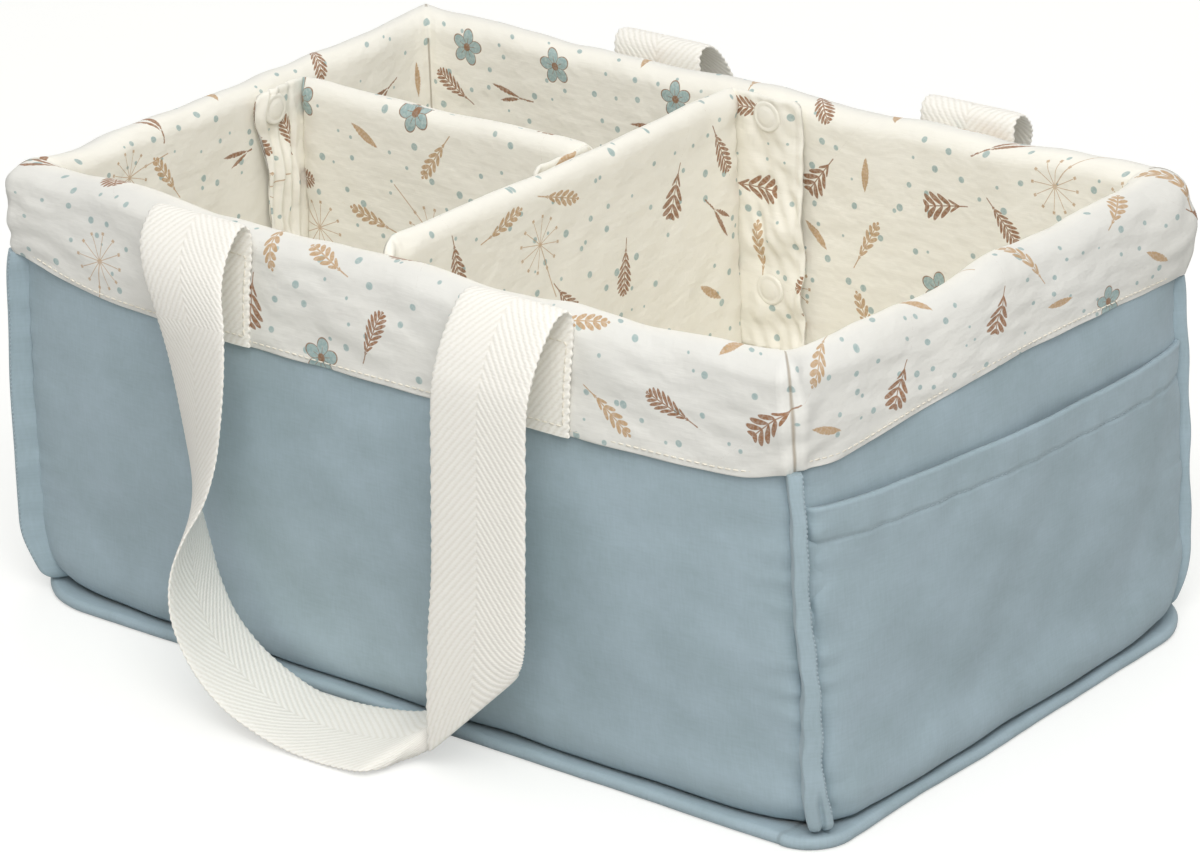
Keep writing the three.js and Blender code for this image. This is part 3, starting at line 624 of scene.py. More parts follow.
def make_corner_seam(sign_x, sign_y):
    """An upright corner seam: a flat folded band that stands proud, wanders and flares at its foot.

    Its section is a superellipse nose of power 4 on two straight sides. Below 19 mm a notch
    2.2 exp(-((w / half - 0.42) / 0.16)^2) parts a second layer, which leans out. It stands less
    proud towards the cuff, by 0.2 exp(-d / 6) + 0.25 exp(-d / 30).
    """
    corner = CORNERS[sign_x, sign_y]
    low, high = size("wall_bottom") + 0.6, hem_height() + 0.6 + corner["hem"]
    foot_z = low + 12 * (1 - np.cos(np.linspace(0, math.pi / 2, 30)))
    z = np.concatenate([foot_z, np.linspace(low + 12.9, high, 110)])
    s = share(z - low, 4)
    end = 0.45 + 0.55 * np.sqrt(s * (2 - s))
    foot = 1 / (1 + np.exp((z[:, None] - 19) / 1.8))
    seed = 2 * sign_x + sign_y + 60
    half = size("seam_thickness") / 2 * end * (1 + 0.5 * bump_at(z, low, 48))
    half = (half * (1 + 0.07 * ripple(z, 0 * z, seed, 24)))[:, None]
    under = 1 - 0.2 * np.exp(-(high - z) / 6) - 0.25 * np.exp(-(high - z) / 30)
    proud = size("seam_reach") * corner["seam"] * end * under + 0.3 * ripple(z, 0 * z, seed + 1, 30)
    shift = 0.9 * ripple(z, 0 * z, seed + 2, 62) + 0.3 * ripple(z, 0 * z, seed + 3, 17)
    shift = shift * (0.4 if sign_y > 0 else 1.0)
    turn = np.linspace(-math.pi / 2, math.pi / 2, 45)
    nose = np.sqrt(np.clip(np.cos(turn), 0, 1))
    side = np.sign(turn) * np.sqrt(np.abs(np.sin(turn)))
    depth = 1.7
    notch = 2.2 * bump_at(side, 0.42, 0.16)
    layer = share(side - 0.42, 0.58)
    r_nose = (proud - depth)[:, None] + depth * nose - foot * (notch + 0.8 * layer)
    w_nose = half * side + foot * 1.7 * layer
    root = np.broadcast_to([-9.0, -2.0], (len(z), 2))
    r = np.concatenate([root, r_nose, root[:, ::-1]], axis=1)
    w = [-half * np.array([0.8, 0.95]), w_nose, (half + 1.2 * foot) * np.array([0.95, 0.8])]
    w = np.concatenate(w, axis=1) + shift[:, None]
    diagonal = np.array([sign_x, sign_y]) / math.sqrt(2)
    across = np.array([-sign_y, sign_x]) / math.sqrt(2)
    place = np.stack([sign_x * corner_half("x", z), sign_y * corner_half("y", z)], axis=-1)
    plan = place[:, None, :] + r[:, :, None] * diagonal + w[:, :, None] * across
    grid = np.concatenate([plan, np.broadcast_to(z[:, None, None], (*r.shape, 1))], axis=2)
    grid = tuck_foot(grid)
    run = travel(np.stack([r[-1], w[-1]], axis=1))
    piece = loft(f"corner_seam_roll_{corner['name']}", grid, run, z[:, None])
    dress(piece, "canvas", "caddy", f"corner_seam_{corner['name']}")
    way = diagonal + across * 0.7
    way = [*(way / np.linalg.norm(way)), 0.0]
    stitches(f"corner_stitches_{corner['name']}", grid[22:, -8], way, "thread_blue", 1.7)


def pocket_top(u):
    """Height of a pocket's mouth, which falls evenly along the wall."""
    return hem_height() - POCKET_DROP - POCKET_FALL * (1 + u) / 2


def pocket_extra(name, u, z):
    """Distance of a pocket's face from its wall, with its folds, puckers and hem groove.

    It stands off by ease (1 - u^2) s^2, s the share of its height, the hem band is a shade
    thicker with a groove at its stitching, and the mouth's lip is rolled.
    """
    low, half, hem = size("wall_bottom") + 0.5, size("base_depth") / 2, size("pocket_hem")
    below_mouth = pocket_top(u) - z
    s = (z - low) / (pocket_top(u) - low)
    edge = (1 - POCKET_MARGIN / half - np.abs(u)) * half
    seed = 5 if name == "right" else 6
    pull, folds, pleats, soft = canvas_relief(
        name, u, z, half, edge, seed, fold=(0.4, 2.4, 29, 26),
        gathers=((0.14, 2.2, 9),), waves=((0.7, seed + 30, 90), (0.3, seed + 31, 36)),
    )
    pull = pull - 1.6 * np.exp(-(z - low) / 2)
    ease = 2.2 * (1 - u * u) * s**2
    groove = -0.5 * bump_at(below_mouth, hem, 0.9) + 0.3 * (below_mouth < hem)
    pucker = 0.3 * np.sin(u * half / 2.9 + ripple(u * 80, 0, 4, 30)) * bump_at(below_mouth, hem, 6)
    slant = 0.45 * np.sin((z + u * 40) / 6) * np.exp(-edge / 34) * (s > 0.55)
    extra = 1.7 + ease + folds + groove + pucker + slant + pleats + pull + soft
    return extra - 0.5 * share(0.9 - below_mouth, 0.9) ** 2


def make_pocket(name):
    """The flat pocket of an end wall: easy at its mouth, with a hem band and puckers.

    Its cloth coordinates take its slanting height as 118 mm all along.
    """
    half, low = size("base_depth") / 2, size("wall_bottom") + 0.5
    u = np.sin(np.linspace(-1, 1, 130) * math.pi / 2) * (1 - POCKET_MARGIN / half)
    s = np.concatenate([np.linspace(0, 0.86, 86), np.linspace(0.862, 1, 26)])
    uu, ss = np.meshgrid(u, s, indexing="ij")
    zz = low + ss * (pocket_top(uu) - low)
    extra = pocket_extra(name, uu, zz)
    face = wall_points(name, uu, 1.0, extra, zz)
    back = wall_points(name, uu[:, ::-5], 1.0, (extra - size("pocket_cloth"))[:, ::-5], zz[:, ::-5])
    grid = tuck_foot(np.concatenate([face, back], axis=1))
    piece = loft(f"pocket_{name}", grid, u[:, None] * half, np.concatenate([s, s[::-5]]) * 118)
    dress(piece, "canvas", "caddy", f"end_pocket_{name}")


# Base


def plan_outline(outside, steps):
    """The base outline at a distance outside its seam: a rectangle, each corner with its radius."""
    half_x = size("base_length") / 2 + outside
    half_y = size("base_depth") / 2 + outside
    parts = []
    for k, ((sx, sy), row) in enumerate(CORNERS.items()):
        turn = np.linspace(0, math.pi / 2, 16) + (k - 1) * math.pi / 2
        x = sx * (half_x - row["radius"]) + row["radius"] * np.cos(turn)
        y = sy * (half_y - row["radius"]) + row["radius"] * np.sin(turn)
        parts.append(np.stack([x, y], axis=1))
    return resample(np.vstack(parts + [parts[0][:1]]), steps + 1)[:-1]


def make_base_welt():
    """The sewn welt round the base: a rolled edge, a shade wavy, carried round the outline.

    Its section is half a circle of the welt's height on a flat band that runs in under the walls.
    """
    steps, high = 620, size("welt_height")
    half = high / 2
    outer = plan_outline(size("welt_reach") - half, steps)
    ahead = np.roll(outer, -1, axis=0) - np.roll(outer, 1, axis=0)
    ahead /= np.linalg.norm(ahead, axis=1, keepdims=True)
    out = np.stack([ahead[:, 1], -ahead[:, 0]], axis=1)
    run = (np.arange(steps) * 2 * (size("base_length") + size("base_depth")) / steps)[:, None]
    growth = 0.07 * ripple(run, 0 * run, 41, 60) + 0.05 * ripple(run, 0 * run, 42, 17)
    shift = 0.5 * ripple(run, 0 * run, 43, 85)
    turn = np.linspace(-math.pi / 2, math.pi / 2, 13)
    reach = np.concatenate([[-13.0, -6.0], half * np.cos(turn), [-3.2, -5.0, -13.0]])
    height = np.concatenate([[0, 0], half + half * np.sin(turn), [high - 0.5, high - 0.9, high - 0.9]])
    r = reach * (1 + (reach > 0) * growth) + shift * share(reach + 6, 6)
    plan = outer[:, None, :] + r[:, :, None] * out[:, None, :]
    z = height * (1 + 0.04 * ripple(run, 0 * run, 44, 33))
    grid = np.concatenate([plan, np.maximum(z, 0)[:, :, None]], axis=2)
    width = travel(np.stack([reach, height], axis=1))
    dress(loft("base_welt_roll", grid, run, width, wrap_rows=True), "canvas", "caddy", "base_welt")


def pillow(name, half_x, half_y, low, high, crown, power):
    """A flat pad: its rim is a superellipse of the given power and its top rises by crown.

    top = high - crown + crown (1 - |x|^4) (1 - |y|^4), with a faint ripple.
    """
    t = np.linspace(0, 2 * math.pi, 360, endpoint=False)
    rim_x, rim_y = (np.sign(f(t)) * np.abs(f(t)) ** (2 / power) for f in (np.cos, np.sin))
    side = 1 - 0.06 * (1 - np.linspace(0, 1, 8)[1:]) ** 2
    part = np.concatenate([np.linspace(0, 0.94, 24), side])[:, None]
    x, y = part * rim_x * half_x, part * rim_y * half_y
    rise = (1 - np.abs(x / half_x) ** 4) * (1 - np.abs(y / half_y) ** 4)
    top = high - crown + crown * rise + 0.35 * ripple(x, y, 61, 60) * rise
    upper = np.stack([x, y, top], axis=-1)
    lower = np.stack([x, y, np.full_like(x, low)], axis=-1)[::-6]
    rings = np.concatenate([upper[1:], lower[:-1]])
    return round_piece(name, rings, [[0, 0, high], [0, 0, low]], flat_cloth=True)


def make_floor():
    """The padded floor inside, the canvas sole underneath and the board between them."""
    low, high = node_box("floor_lining")
    half = (high - low) / 2 + 0.9
    floor = pillow("floor_pad_cover", *half[:2], node_box("floor_pad")[0][2], high[2] + 1, 1.8, 60)
    dress(floor, "printed_cotton", "caddy", "floor_lining", "floor_pad", fill=0.7)
    for name, solid, look, crown, power in (
        ("sole", "base_outer_panel", "canvas", 0.2, 14),
        ("stiffening_board", "base_board", "board", 0.1, 12),
    ):
        low, high = node_box(solid)
        dress(pillow(name, *high[:2], low[2], high[2], crown, power), look, "caddy", solid)


# Dividers and tabs


def make_divider(name, start, end, top, seed):
    """A padded divider: rolled top edge, crowned sides and gathered, thinner ends.

    With e the distance from its end, it thins to a fin by 0.24 + 0.76 sqrt(f (2 - f)), where
    f = (e - 4.5) / 11, its top dips at the ends by a corner radius, and fine upright gathers
    exp(-((e - 7) / 5.5)^2) stand beside the fin, which sways.
    """
    start, end = np.array(start, float), np.array(end, float)
    run = np.linalg.norm(end - start)
    along = (end - start) / run
    across = np.array([-along[1], along[0]])
    half, low, corner = size("divider_thickness") / 2, DIVIDER_FOOT, 6.5
    place = np.sin(np.linspace(-1, 1, 150) * math.pi / 2)
    upper = 0.9 + 0.1 * np.sin(np.linspace(0, 1, 16)[1:] * math.pi / 2)
    level = np.concatenate([np.linspace(0, 0.9, 40), upper])
    edge = (1 - np.abs(place)) * run / 2
    full = share(edge - 4.5, 11)
    past = np.clip(corner - edge, 0, corner)
    height = top - low - (corner - np.sqrt(corner**2 - past**2)) - 1.2 * (1 - place**2)
    height = (height + 0.6 * ripple(place * run / 2, 0 * place, seed + 7, 45) * full)[:, None]
    x, ll = np.meshgrid(place * run / 2, level, indexing="ij")
    zz, distance = ll * height, (1 - ll) * height
    taper = (0.24 + 0.76 * np.sqrt(full * (2 - full)))[:, None]
    roll = np.sqrt(np.clip(1 - np.clip(1 - distance / (half * 1.1), 0, 1) ** 2, 0, 1))
    sides = 0.93 + 0.1 * np.sin(math.pi * ll) + 0.05 * bump_at(distance, 9, 5)
    gather = 0.75 * np.sin(zz / 2.3 + 2 * np.sin(zz / 9 + seed)) * bump_at(edge, 7.0, 5.5)[:, None]
    fin = share(6.5 - edge, 6.5)[:, None]
    sway = (2.0 * np.sin(zz / 7.0 + seed) + 2.2 * bump_at(distance, 4, 9)) * fin * roll
    soft_right = 0.4 * ripple(x, ll * 150, seed, 60) + 0.22 * ripple(x, ll * 150, seed + 1, 24)
    soft_left = 0.35 * ripple(x, ll * 150, seed + 2, 50)
    plan = (start + end) / 2 + x[:, :, None] * along
    z = low + zz
    faces = []
    for way, soft in ((1, soft_right), (-1, soft_left)):
        out = half * taper * roll * sides + (way * gather + soft) * roll * taper + way * sway
        out = way * np.minimum(out, half + 0.6)
        faces.append(np.concatenate([plan + out[:, :, None] * across, z[:, :, None]], axis=2))
    grid = np.concatenate([faces[0], faces[1][:, -2::-1]], axis=1)
    # The print is shifted by the seed, so that each piece shows another part of it
    v = np.concatenate([z, 2 * top - z[:, -2::-1] + 4], axis=1) + seed * 77
    piece = loft(f"{name}_cushion", grid, x[:, :1] + seed * 131, v)
    dress(piece, "printed_cotton", name, f"{name}_cover", f"{name}_pad", fill=0.65)


def tabs():
    """The four snap tabs: the foot of the sewn edge, directions along and off the face, bodies.

    slack is the size of the wrinkles, and gather the share by which the tab is drawn in.
    """
    half_x, half_y = inner_half("x"), inner_half("y")
    rows = (
        ("cross_back", CROSS_X + CROSS_TAB, half_y, (1, 0), (0, -1), "caddy", 1.3, 0.0),
        ("cross_front", CROSS_X + CROSS_TAB, -half_y, (1, 0), (0, 1), "caddy", 1.0, 0.0),
        ("long_left", -half_x, LONG_Y + LONG_TAB, (0, -1), (1, 0), "caddy", 1.0, 0.36),
        (
            "long_right", CROSS_X - CROSS_HALF, LONG_Y + LONG_TAB, (0, -1), (-1, 0),
            "cross_divider", 1.0, 0.12,
        ),
    )
    for name, x, y, along, out, stud_body, slack, gather in rows:
        yield f"{name}_flap", dict(
            origin=np.array([x, y]), along=np.array(along), out=np.array(out),
            parent=f"{name.split('_')[0]}_divider", body=f"{name}_tab", stud_body=stud_body,
            slack=slack, gather=gather,
        )


def tab_place(tab, along, out, z):
    """Points on a tab from the distance along it, the distance off its face and the height."""
    along, out, z = np.broadcast_arrays(along, out, z)
    plan = tab["origin"] + along[..., None] * tab["along"] + out[..., None] * tab["out"]
    return np.concatenate([plan, z[..., None]], axis=-1)


def make_tab(name, tab):
    """A snap tab: two layers of cloth with turned edges, dimples round the snaps and wrinkles.

    Its face stands off by 4.4 + waves (1 - dimples), a dimple being exp(-r^2 / 60) round a snap,
    and it runs on into the divider at its sewn edge. A gathered tab is drawn in along its width
    by gather, half of that at a snap's level, and its slack stands in upright folds.
    """
    (_, _, low), (_, _, high) = node_box(name)
    width = size("flap_width")
    a = np.concatenate([np.linspace(-TAB_ROOT, 0, 8)[:-1], np.linspace(0, width, 40)])
    aa, ss = np.meshgrid(a, np.linspace(0, 1, 84), indexing="ij")
    corner = 3.5 * share(aa - (width - 3.5), 3.5) ** 2
    zz = low + corner + ss * (high - low - 2 * corner)
    seed = len(name) + int(abs(tab["origin"][0]))
    snaps = [high - drop for drop in SNAP_DROPS.values()]
    calm = 1 - sum(np.exp(-(((aa - SNAP_ALONG) ** 2 + (zz - level) ** 2) / 60)) for level in snaps)
    calm = np.clip(calm, 0, 1)
    wave = 0.9 * np.sin((zz - aa * 0.4) / 6.0 + 1.4 * np.sin(zz / 19 + seed))
    wave = wave + 0.9 * ripple(aa * 2, zz, seed, 30) + 0.4 * ripple(aa * 2, zz, seed + 1, 12)
    pleat = tab["gather"] * 3.2 * np.sin(aa / 1.25 + 1.6 * np.sin(zz / 17 + seed)) * calm
    wave = wave * tab["slack"] + pleat * share(aa, 4)
    gather = tab["gather"] * (1 - 0.5 * sum(bump_at(zz, level, 9) for level in snaps))
    edge = np.minimum(np.minimum(aa + TAB_ROOT, width - aa), np.minimum(zz - low, high - zz))
    rim = 0.25 * bump_at(edge, 1.4, 1.2) - 0.3 * bump_at(edge, 3.0, 0.5)
    off = TAB_OFF + wave * calm * share(aa + 2, 10)
    half = (0.7 + rim * (aa > 0)) * np.sqrt(np.clip(edge / 0.7, 0.15, 1))
    reach = np.where(aa > 0, aa * (1 - gather), aa)
    front, behind = (tab_place(tab, reach, off + way * half, zz) for way in (1, -1))
    grid = np.concatenate([front, behind[:, ::-1]], axis=1)
    v = np.concatenate([zz, 2 * high - zz[:, ::-1]], axis=1) + 90 * seed
    piece = loft(f"{name}_cloth", grid, a[:, None] + 400 + seed * 31, v)
    dress(piece, "printed_cotton", None, name)
    start, end = tab_place(tab, np.array([-1.8, 1.6]), TAB_OFF, 120.0) * MM
    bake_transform(piece)


def rounded_profile(points, radius):
    """Cuts each corner of a profile into three points, radius away along its two sides."""
    p = np.array(points, float)
    sides = []
    for way in (p[:-2] - p[1:-1], p[2:] - p[1:-1]):
        reach = np.linalg.norm(way, axis=1, keepdims=True)
        sides.append(p[1:-1] + way / reach * np.minimum(radius, reach * 0.4))
    middle = (sides[0] + sides[1] + 1.2 * p[1:-1]) / 3.2
    rounded = np.stack([sides[0], middle, sides[1]], axis=1).reshape(-1, 2)
    return np.vstack([p[:1], rounded, p[-1:]])


def make_snaps(name, tab, level_name, level):
    """One snap: a domed cap with a raised ring on the tab, its socket behind, and the stud.

    Each is a profile of radius and distance off the face, turned about the snap's middle.
    """
    r = size("cap_radius")
    cap = [
        (0, 2.9), (2.3, 2.9), (2.3, 2.1), (5.2, 2.1), (5.2, 3.4), (1.2, 3.6), (1.2, 5.4),
        (r - 0.3, 5.4), (r, 5.7), (r, 6.0), (r - 0.55, 6.45), (r - 1.4, 6.5), (r - 1.9, 6.4),
        (r * 0.45, 7.0), (r * 0.2, 7.15), (0, 7.2),
    ]
    stud = [
        (0, -2.5), (2.5, -2.5), (2.5, -1.7), (1.2, -1.7), (1.2, 0.3), (5.0, 0.3), (5.0, 1.0),
        (3.4, 1.1), (1.9, 1.2), (1.9, 1.75), (1.3, 1.8), (0, 1.8),
    ]
    angle = np.linspace(0, 2 * math.pi, 40, endpoint=False)
    for kind, points, radius, body in (
        ("cap", cap, 0.2, tab["body"]),
        ("stud", stud, 0.15, tab["stud_body"]),
    ):
        reach, off = rounded_profile(points, radius).T[:, :, None]
        place = tab_place(tab, SNAP_ALONG + reach * np.cos(angle), off, level + reach * np.sin(angle))
        piece = round_piece(f"{name}_{level_name}_{kind}", place[1:-1], place[[0, -1], 0])
        dress(piece, "snap_plastic", body, f"{name}_{level_name}_snap_{kind}")


# Handles

# Stations of a strap: along the leg spacing from its middle, out from the fold line in shares
# of the reach, up in shares of the fold's height, then the width direction (along, out, up)
ROUTE_SHARES = np.array(
    [
        [0.486, 0.495, 0.81, 1, 0, 0],
        [0.478, 0.51, 0.62, 1, 0, 0],
        [0.468, 0.515, 0.44, 1, 0, 0],
        [0.460, 0.53, 0.33, 1.04, 0, 0.12],
        [0.449, 0.54, 0.231, 1.05, 0, 0.56],
        [0.438, 0.535, 0.163, 1.01, 0, 0.93],
        [0.436, 0.512, 0.159, 0.99, 0, 0.93],
        [0.427, 0.478, 0.156, 0.97, -0.024, 0.95],
        [0.344, 0.4, 0.116, 0.69, -0.226, 0.826],
        [0.282, 0.381, 0.085, 0.424, -0.524, 0.617],
        [0.24, 0.438, 0.061, 0.226, -0.776, 0.433],
        [0.201, 0.495, 0.044, 0.12, -0.95, 0.26],
        [0.13, 0.502, 0.026, 0.04, -0.99, 0.15],
        [0.031, 0.512, 0.016, -0.04, -1, 0.08],
        [-0.069, 0.52, 0.015, -0.08, -1, 0.02],
        [-0.165, 0.545, 0.027, -0.12, -0.99, -0.05],
        [-0.253, 0.567, 0.057, -0.14, -0.99, -0.07],
        [-0.329, 0.59, 0.103, -0.19, -0.98, -0.1],
        [-0.389, 0.607, 0.164, -0.24, -0.96, -0.12],
        [-0.427, 0.607, 0.236, -0.3, -0.95, -0.12],
        [-0.442, 0.585, 0.314, -0.4, -0.91, -0.11],
        [-0.44, 0.555, 0.394, -0.58, -0.81, -0.06],
        [-0.425, 0.52, 0.476, -0.75, -0.66, 0.03],
        [-0.415, 0.505, 0.561, -0.85, -0.52, 0.05],
        [-0.41, 0.503, 0.648, -0.91, -0.42, 0.01],
        [-0.41, 0.503, 0.735, -0.95, -0.32, -0.06],
        [-0.42, 0.5, 0.822, -0.97, -0.2, -0.1],
    ]
)
# The same from the fold line down to where the strap above starts, for each leg
RIGHT_FOLD_SHARES = np.array(
    [[0.499, 0.19, 0.99, 1, 0, 0], [0.497, 0.33, 0.946, 1, 0, 0], [0.492, 0.44, 0.884, 1, 0, 0]]
)
LEFT_FOLD_SHARES = np.array(
    [
        [-0.492, 0.19, 0.99, -1, 0, 0],
        [-0.482, 0.33, 0.95, -1, -0.02, 0],
        [-0.455, 0.44, 0.895, -0.99, -0.1, -0.06],
    ]
)


def crest():
    """Distance out of the middle, and height, of the line where a strap folds over."""
    out = size("base_depth") / 2 + size("side_spread") + cuff_out() + 1.05 + rim_thickness() / 6
    return out, size("rim_height") + 1


def route_points(route, side, middle):
    """Centres and half widths in millimetres of strap stations. side is -1 at the front."""
    out, high = crest()
    along, away, up, width_along, width_out, width_up = route.T
    x = middle - side * along * size("handle_spacing")
    centres = np.stack([x, side * (out + away * size("handle_reach")), up * high], axis=1)
    widths = np.stack([-side * width_along, side * width_out, width_up], axis=1)
    return centres, widths * size("webbing_width") / 2


def ribbon(name, centres, widths, first=0.0):
    """A flat woven strap. Its face is centre + a width, a from -1 to 1, with scalloped edges.

    The edges go in and out by 1 + 0.014 sin(2 pi run / 2.9). Its thickness lies along the normal,
    which is the cross product of the directions along and across. The cloth coordinates run
    across it, and along it from first to the value that is given back with the piece.
    """
    a = np.sin(np.linspace(-1, 1, 15) * math.pi / 2)
    run = first + travel(centres)
    scallop = 1 + 0.014 * np.sin(run * 2 * math.pi / 2.9)
    face = centres[:, None] + a[None, :, None] * (widths * scallop[:, None])[:, None]
    normal = np.cross(np.gradient(face, axis=0), np.gradient(face, axis=1))
    normal /= np.linalg.norm(normal, axis=2, keepdims=True) + 1e-9
    half = size("webbing_thickness") / 2 * np.sqrt(np.clip(1 - np.abs(a) ** 12, 0.1, 1))
    push = normal * half[None, :, None]
    grid = np.concatenate([face + push, (face - push)[:, ::-1]], axis=1)
    flat = np.concatenate([a, a[::-1]]) * size("webbing_width") / 2
    return loft(name, grid, flat, run[:, None]), run[-1]


def sewn_end_route(side, x):
    """Stations up the cuff from its hem to the fold line."""
    out, high = crest()
    z = np.linspace(hem_height() + 0.3, size("rim_height") - 9.5, 7)
    u = -side * x / corner_half("x", hem_height())
    off = cuff_out() + 0.25 + size("webbing_thickness") / 2
    on_cuff = wall_points("front" if side < 0 else "back", u, 1.0, off, z)
    on_cuff[:, 0] = x
    bend = ((-0.4, -5.5), (0.6, -1.6), (3.6, 0.1))
    return np.vstack([on_cuff, [[x, side * (out + away), high + up] for away, up in bend]])


def make_handle(name, side, middle):
    """A webbing handle: one loose strap and two ends that are sewn to the cuff and fold over."""
    body = f"handle_{name}"
    out, high = crest()
    reaches = []
    loose, before, after = (
        route_points(route, side, middle) for route in (ROUTE_SHARES, RIGHT_FOLD_SHARES, LEFT_FOLD_SHARES)
    )
    for leg, fold, strap in ((1, before, slice(0, 2)), (-1, after, slice(-1, -3, -1))):
        world = -side * leg
        end = f"{body}_{'right' if world > 0 else 'left'}"
        x = middle + world * size("handle_spacing") / 2
        sewn = sewn_end_route(side, x)
        sewn = (sewn, np.tile(fold[1][0], (len(sewn), 1)))
        c, w = (
            smooth_path(np.vstack([sewn[i], fold[i], loose[i][strap]]), STRAP_STEPS) for i in (0, 1)
        )
        piece, reach = ribbon(f"{end}_end", c[:-STRAP_STEPS], w[:-STRAP_STEPS])
        reaches.append(reach)
        dress(piece, "webbing", None, f"{end}_sewn_end")
        start = np.array([x, side * (out + 0.8), high]) * MM
        finish = np.array([x, side * (out + 8.7), high + 0.87]) * MM
        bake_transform(piece)
        stitch_box(f"{end}_stitches", c, w, side)
    c, w = (
        smooth_path(np.vstack([before[i][-1:], loose[i], after[i][-1:]]), STRAP_STEPS) for i in (0, 1)
    )
    inside = slice(STRAP_STEPS, -STRAP_STEPS)
    strap, _ = ribbon(f"{body}_webbing", c[inside], w[inside], first=reaches[0])
    dress(strap, "webbing", body, f"{body}_strap")


# Stitches


def stitches(name, path, normals, look, pitch=None):
    """Sewing stitches along a path: small capsules 0.72 of the pitch long, half sunk in the cloth.

    Each is a ring of six points at four stations, its radius 0.45, 1, 1, 0.45 of the thread's.
    """
    pitch = pitch or size("stitch")
    reach = travel(path)
    number = max(int(reach[-1] / pitch), 1)
    at = (np.arange(number) + 0.5) * reach[-1] / number
    where = at[:, None] + np.array([-0.36, -0.28, 0.28, 0.36]) * pitch
    points = np.stack([np.interp(where, reach, column) for column in path.T], axis=-1)
    normal = np.broadcast_to(np.array(normals, float), (number, 3))
    along = points[:, -1] - points[:, 0]
    along /= np.linalg.norm(along, axis=1, keepdims=True)
    side = np.cross(along, normal)
    side /= np.linalg.norm(side, axis=1, keepdims=True)
    radius = size("thread") * np.array([0.45, 1.0, 1.0, 0.45])
    sink = size("thread") * np.array([-0.6, 0.35, 0.35, -0.6])
    turn = np.linspace(0, 2 * math.pi, 6, endpoint=False)[:, None]
    ring = side[:, None, None] * np.cos(turn) + normal[:, None, None] * np.sin(turn)
    centre = points + normal[:, None] * sink[:, None]
    capsules = (centre[:, :, None] + ring * radius[:, None, None]).reshape(number, 24, 3)
    one = outward(capsules[0], grid_faces(4, 6))
    quads = (np.arange(number) * 24)[:, None, None] + np.array(one[:-2])
    faces = quads.reshape(-1, 4).tolist()
    faces += [[k * 24 + i for i in end] for k in range(number) for end in one[-2:]]
    dress(new_piece(name, capsules.reshape(-1, 3), faces), look, "caddy")


def stitch_box(name, centres, widths, side):
    """The box of stitches that holds a strap's end to the cuff."""
    z = centres[:, 2] - hem_height()
    rows = slice(int(np.argmax(z > 3)), int(np.argmax(z > 33)))
    face = np.array([0, side, 0]) * (size("webbing_thickness") / 2)
    left, right = (centres[rows] + way * widths[rows] * 0.9 + face for way in (-1, 1))
    path = resample(np.vstack([left, right[::-1], left[:1]]), 160)
    stitches(name, path, (0, side, 0), "thread_pale")


def make_hem_stitches():
    """Rows of stitching along the cuff's hem and the pockets' hems."""
    for wall in WALLS:
        u = np.linspace(-0.985, 0.985, 240)
        z = hem_height() + 2.6 + hem_lift(wall, u)
        path = wall_points(wall, u, 1.0, size("cloth") + 0.45, z)
        stitches(f"cuff_stitches_{wall}", path, (*OUT[wall], 0), "thread_pale")
    for name in ("right", "left"):
        u = np.linspace(-0.95, 0.95, 160)
        z = pocket_top(u) - size("pocket_hem")
        path = wall_points(name, u, 1.0, pocket_extra(name, u, z) + 0.05, z)
        stitches(f"pocket_stitches_{name}", path, (*OUT[name], 0), "thread_blue", 2.6)


# Materials


def feed(tree, made, inputs):
    """Sets or links a node's inputs, given in their order or by name."""
    for key, value in inputs.items() if isinstance(inputs, dict) else enumerate(inputs):
        if isinstance(value, Value):
            tree.links.new(value.socket, made.inputs[key])
        else:
            made.inputs[key].default_value = value


def node(tree, kind, inputs=(), out=0, **settings):
    """Adds a node with its settings and links, and gives one of its outputs."""
    made = tree.nodes.new(f"ShaderNode{kind}")
    for key, value in settings.items():
        setattr(made, key, value)
    feed(tree, made, inputs)
    return Value(tree, made, out)


class Value:
    """One output of a node. Arithmetic on it adds Math nodes, and | takes the larger value."""

    def __init__(self, tree, made, out):
        self.tree, self.made, self.socket = tree, made, made.outputs[out]

    def output(self, out):
        """Another output of the same node."""
        return Value(self.tree, self.made, out)

    def maths(self, operation, *others):
        """What a Math operation makes of this value and others."""
        return node(self.tree, "Math", (self, *others), operation=operation)

    def __rsub__(self, other):
        return node(self.tree, "Math", (other, self), operation="SUBTRACT")

    __add__ = partialmethod(maths, "ADD")
    __sub__ = partialmethod(maths, "SUBTRACT")
    __mul__ = partialmethod(maths, "MULTIPLY")
    __truediv__ = partialmethod(maths, "DIVIDE")
    __or__ = partialmethod(maths, "MAXIMUM")
    __lt__ = partialmethod(maths, "LESS_THAN")
    __gt__ = partialmethod(maths, "GREATER_THAN")
    __abs__ = partialmethod(maths, "ABSOLUTE")


def below(value, edge, soft):
    """1 below edge and 0 above it, over a soft width."""
    return node(value.tree, "MapRange", (value, edge, edge + soft, 1.0, 0.0), clamp=True)


def paint(factor, first, second):
    """A mix of two colours, each a value or the name of a colour."""
    first, second = (tint(side) if isinstance(side, str) else side for side in (first, second))
    return node(factor.tree, "Mix", {0: factor, 6: first, 7: second}, out=2, data_type="RGBA")


def cloth_place(tree):
    """The piece's own cloth coordinates in millimetres."""
    metres = node(tree, "UVMap", uv_map="cloth")
    return node(tree, "VectorMath", {0: metres, "Scale": 1000.0}, operation="SCALE")


def grain(place, x, y, detail=2.0):
    """Noise whose grains are 1 / x by 1 / y of the place's units."""
    moved = node(place.tree, "VectorMath", (place, (x, y, 1)), operation="MULTIPLY")
    return node(place.tree, "TexNoise", {"Vector": moved, "Scale": 1.0, "Detail": detail})


def speckle(tree, scale, detail):
    """Even noise in the piece's own space, scale grains to a metre."""
    place = node(tree, "TexCoord", out="Object")
    return node(tree, "TexNoise", {"Vector": place, "Scale": scale, "Detail": detail})


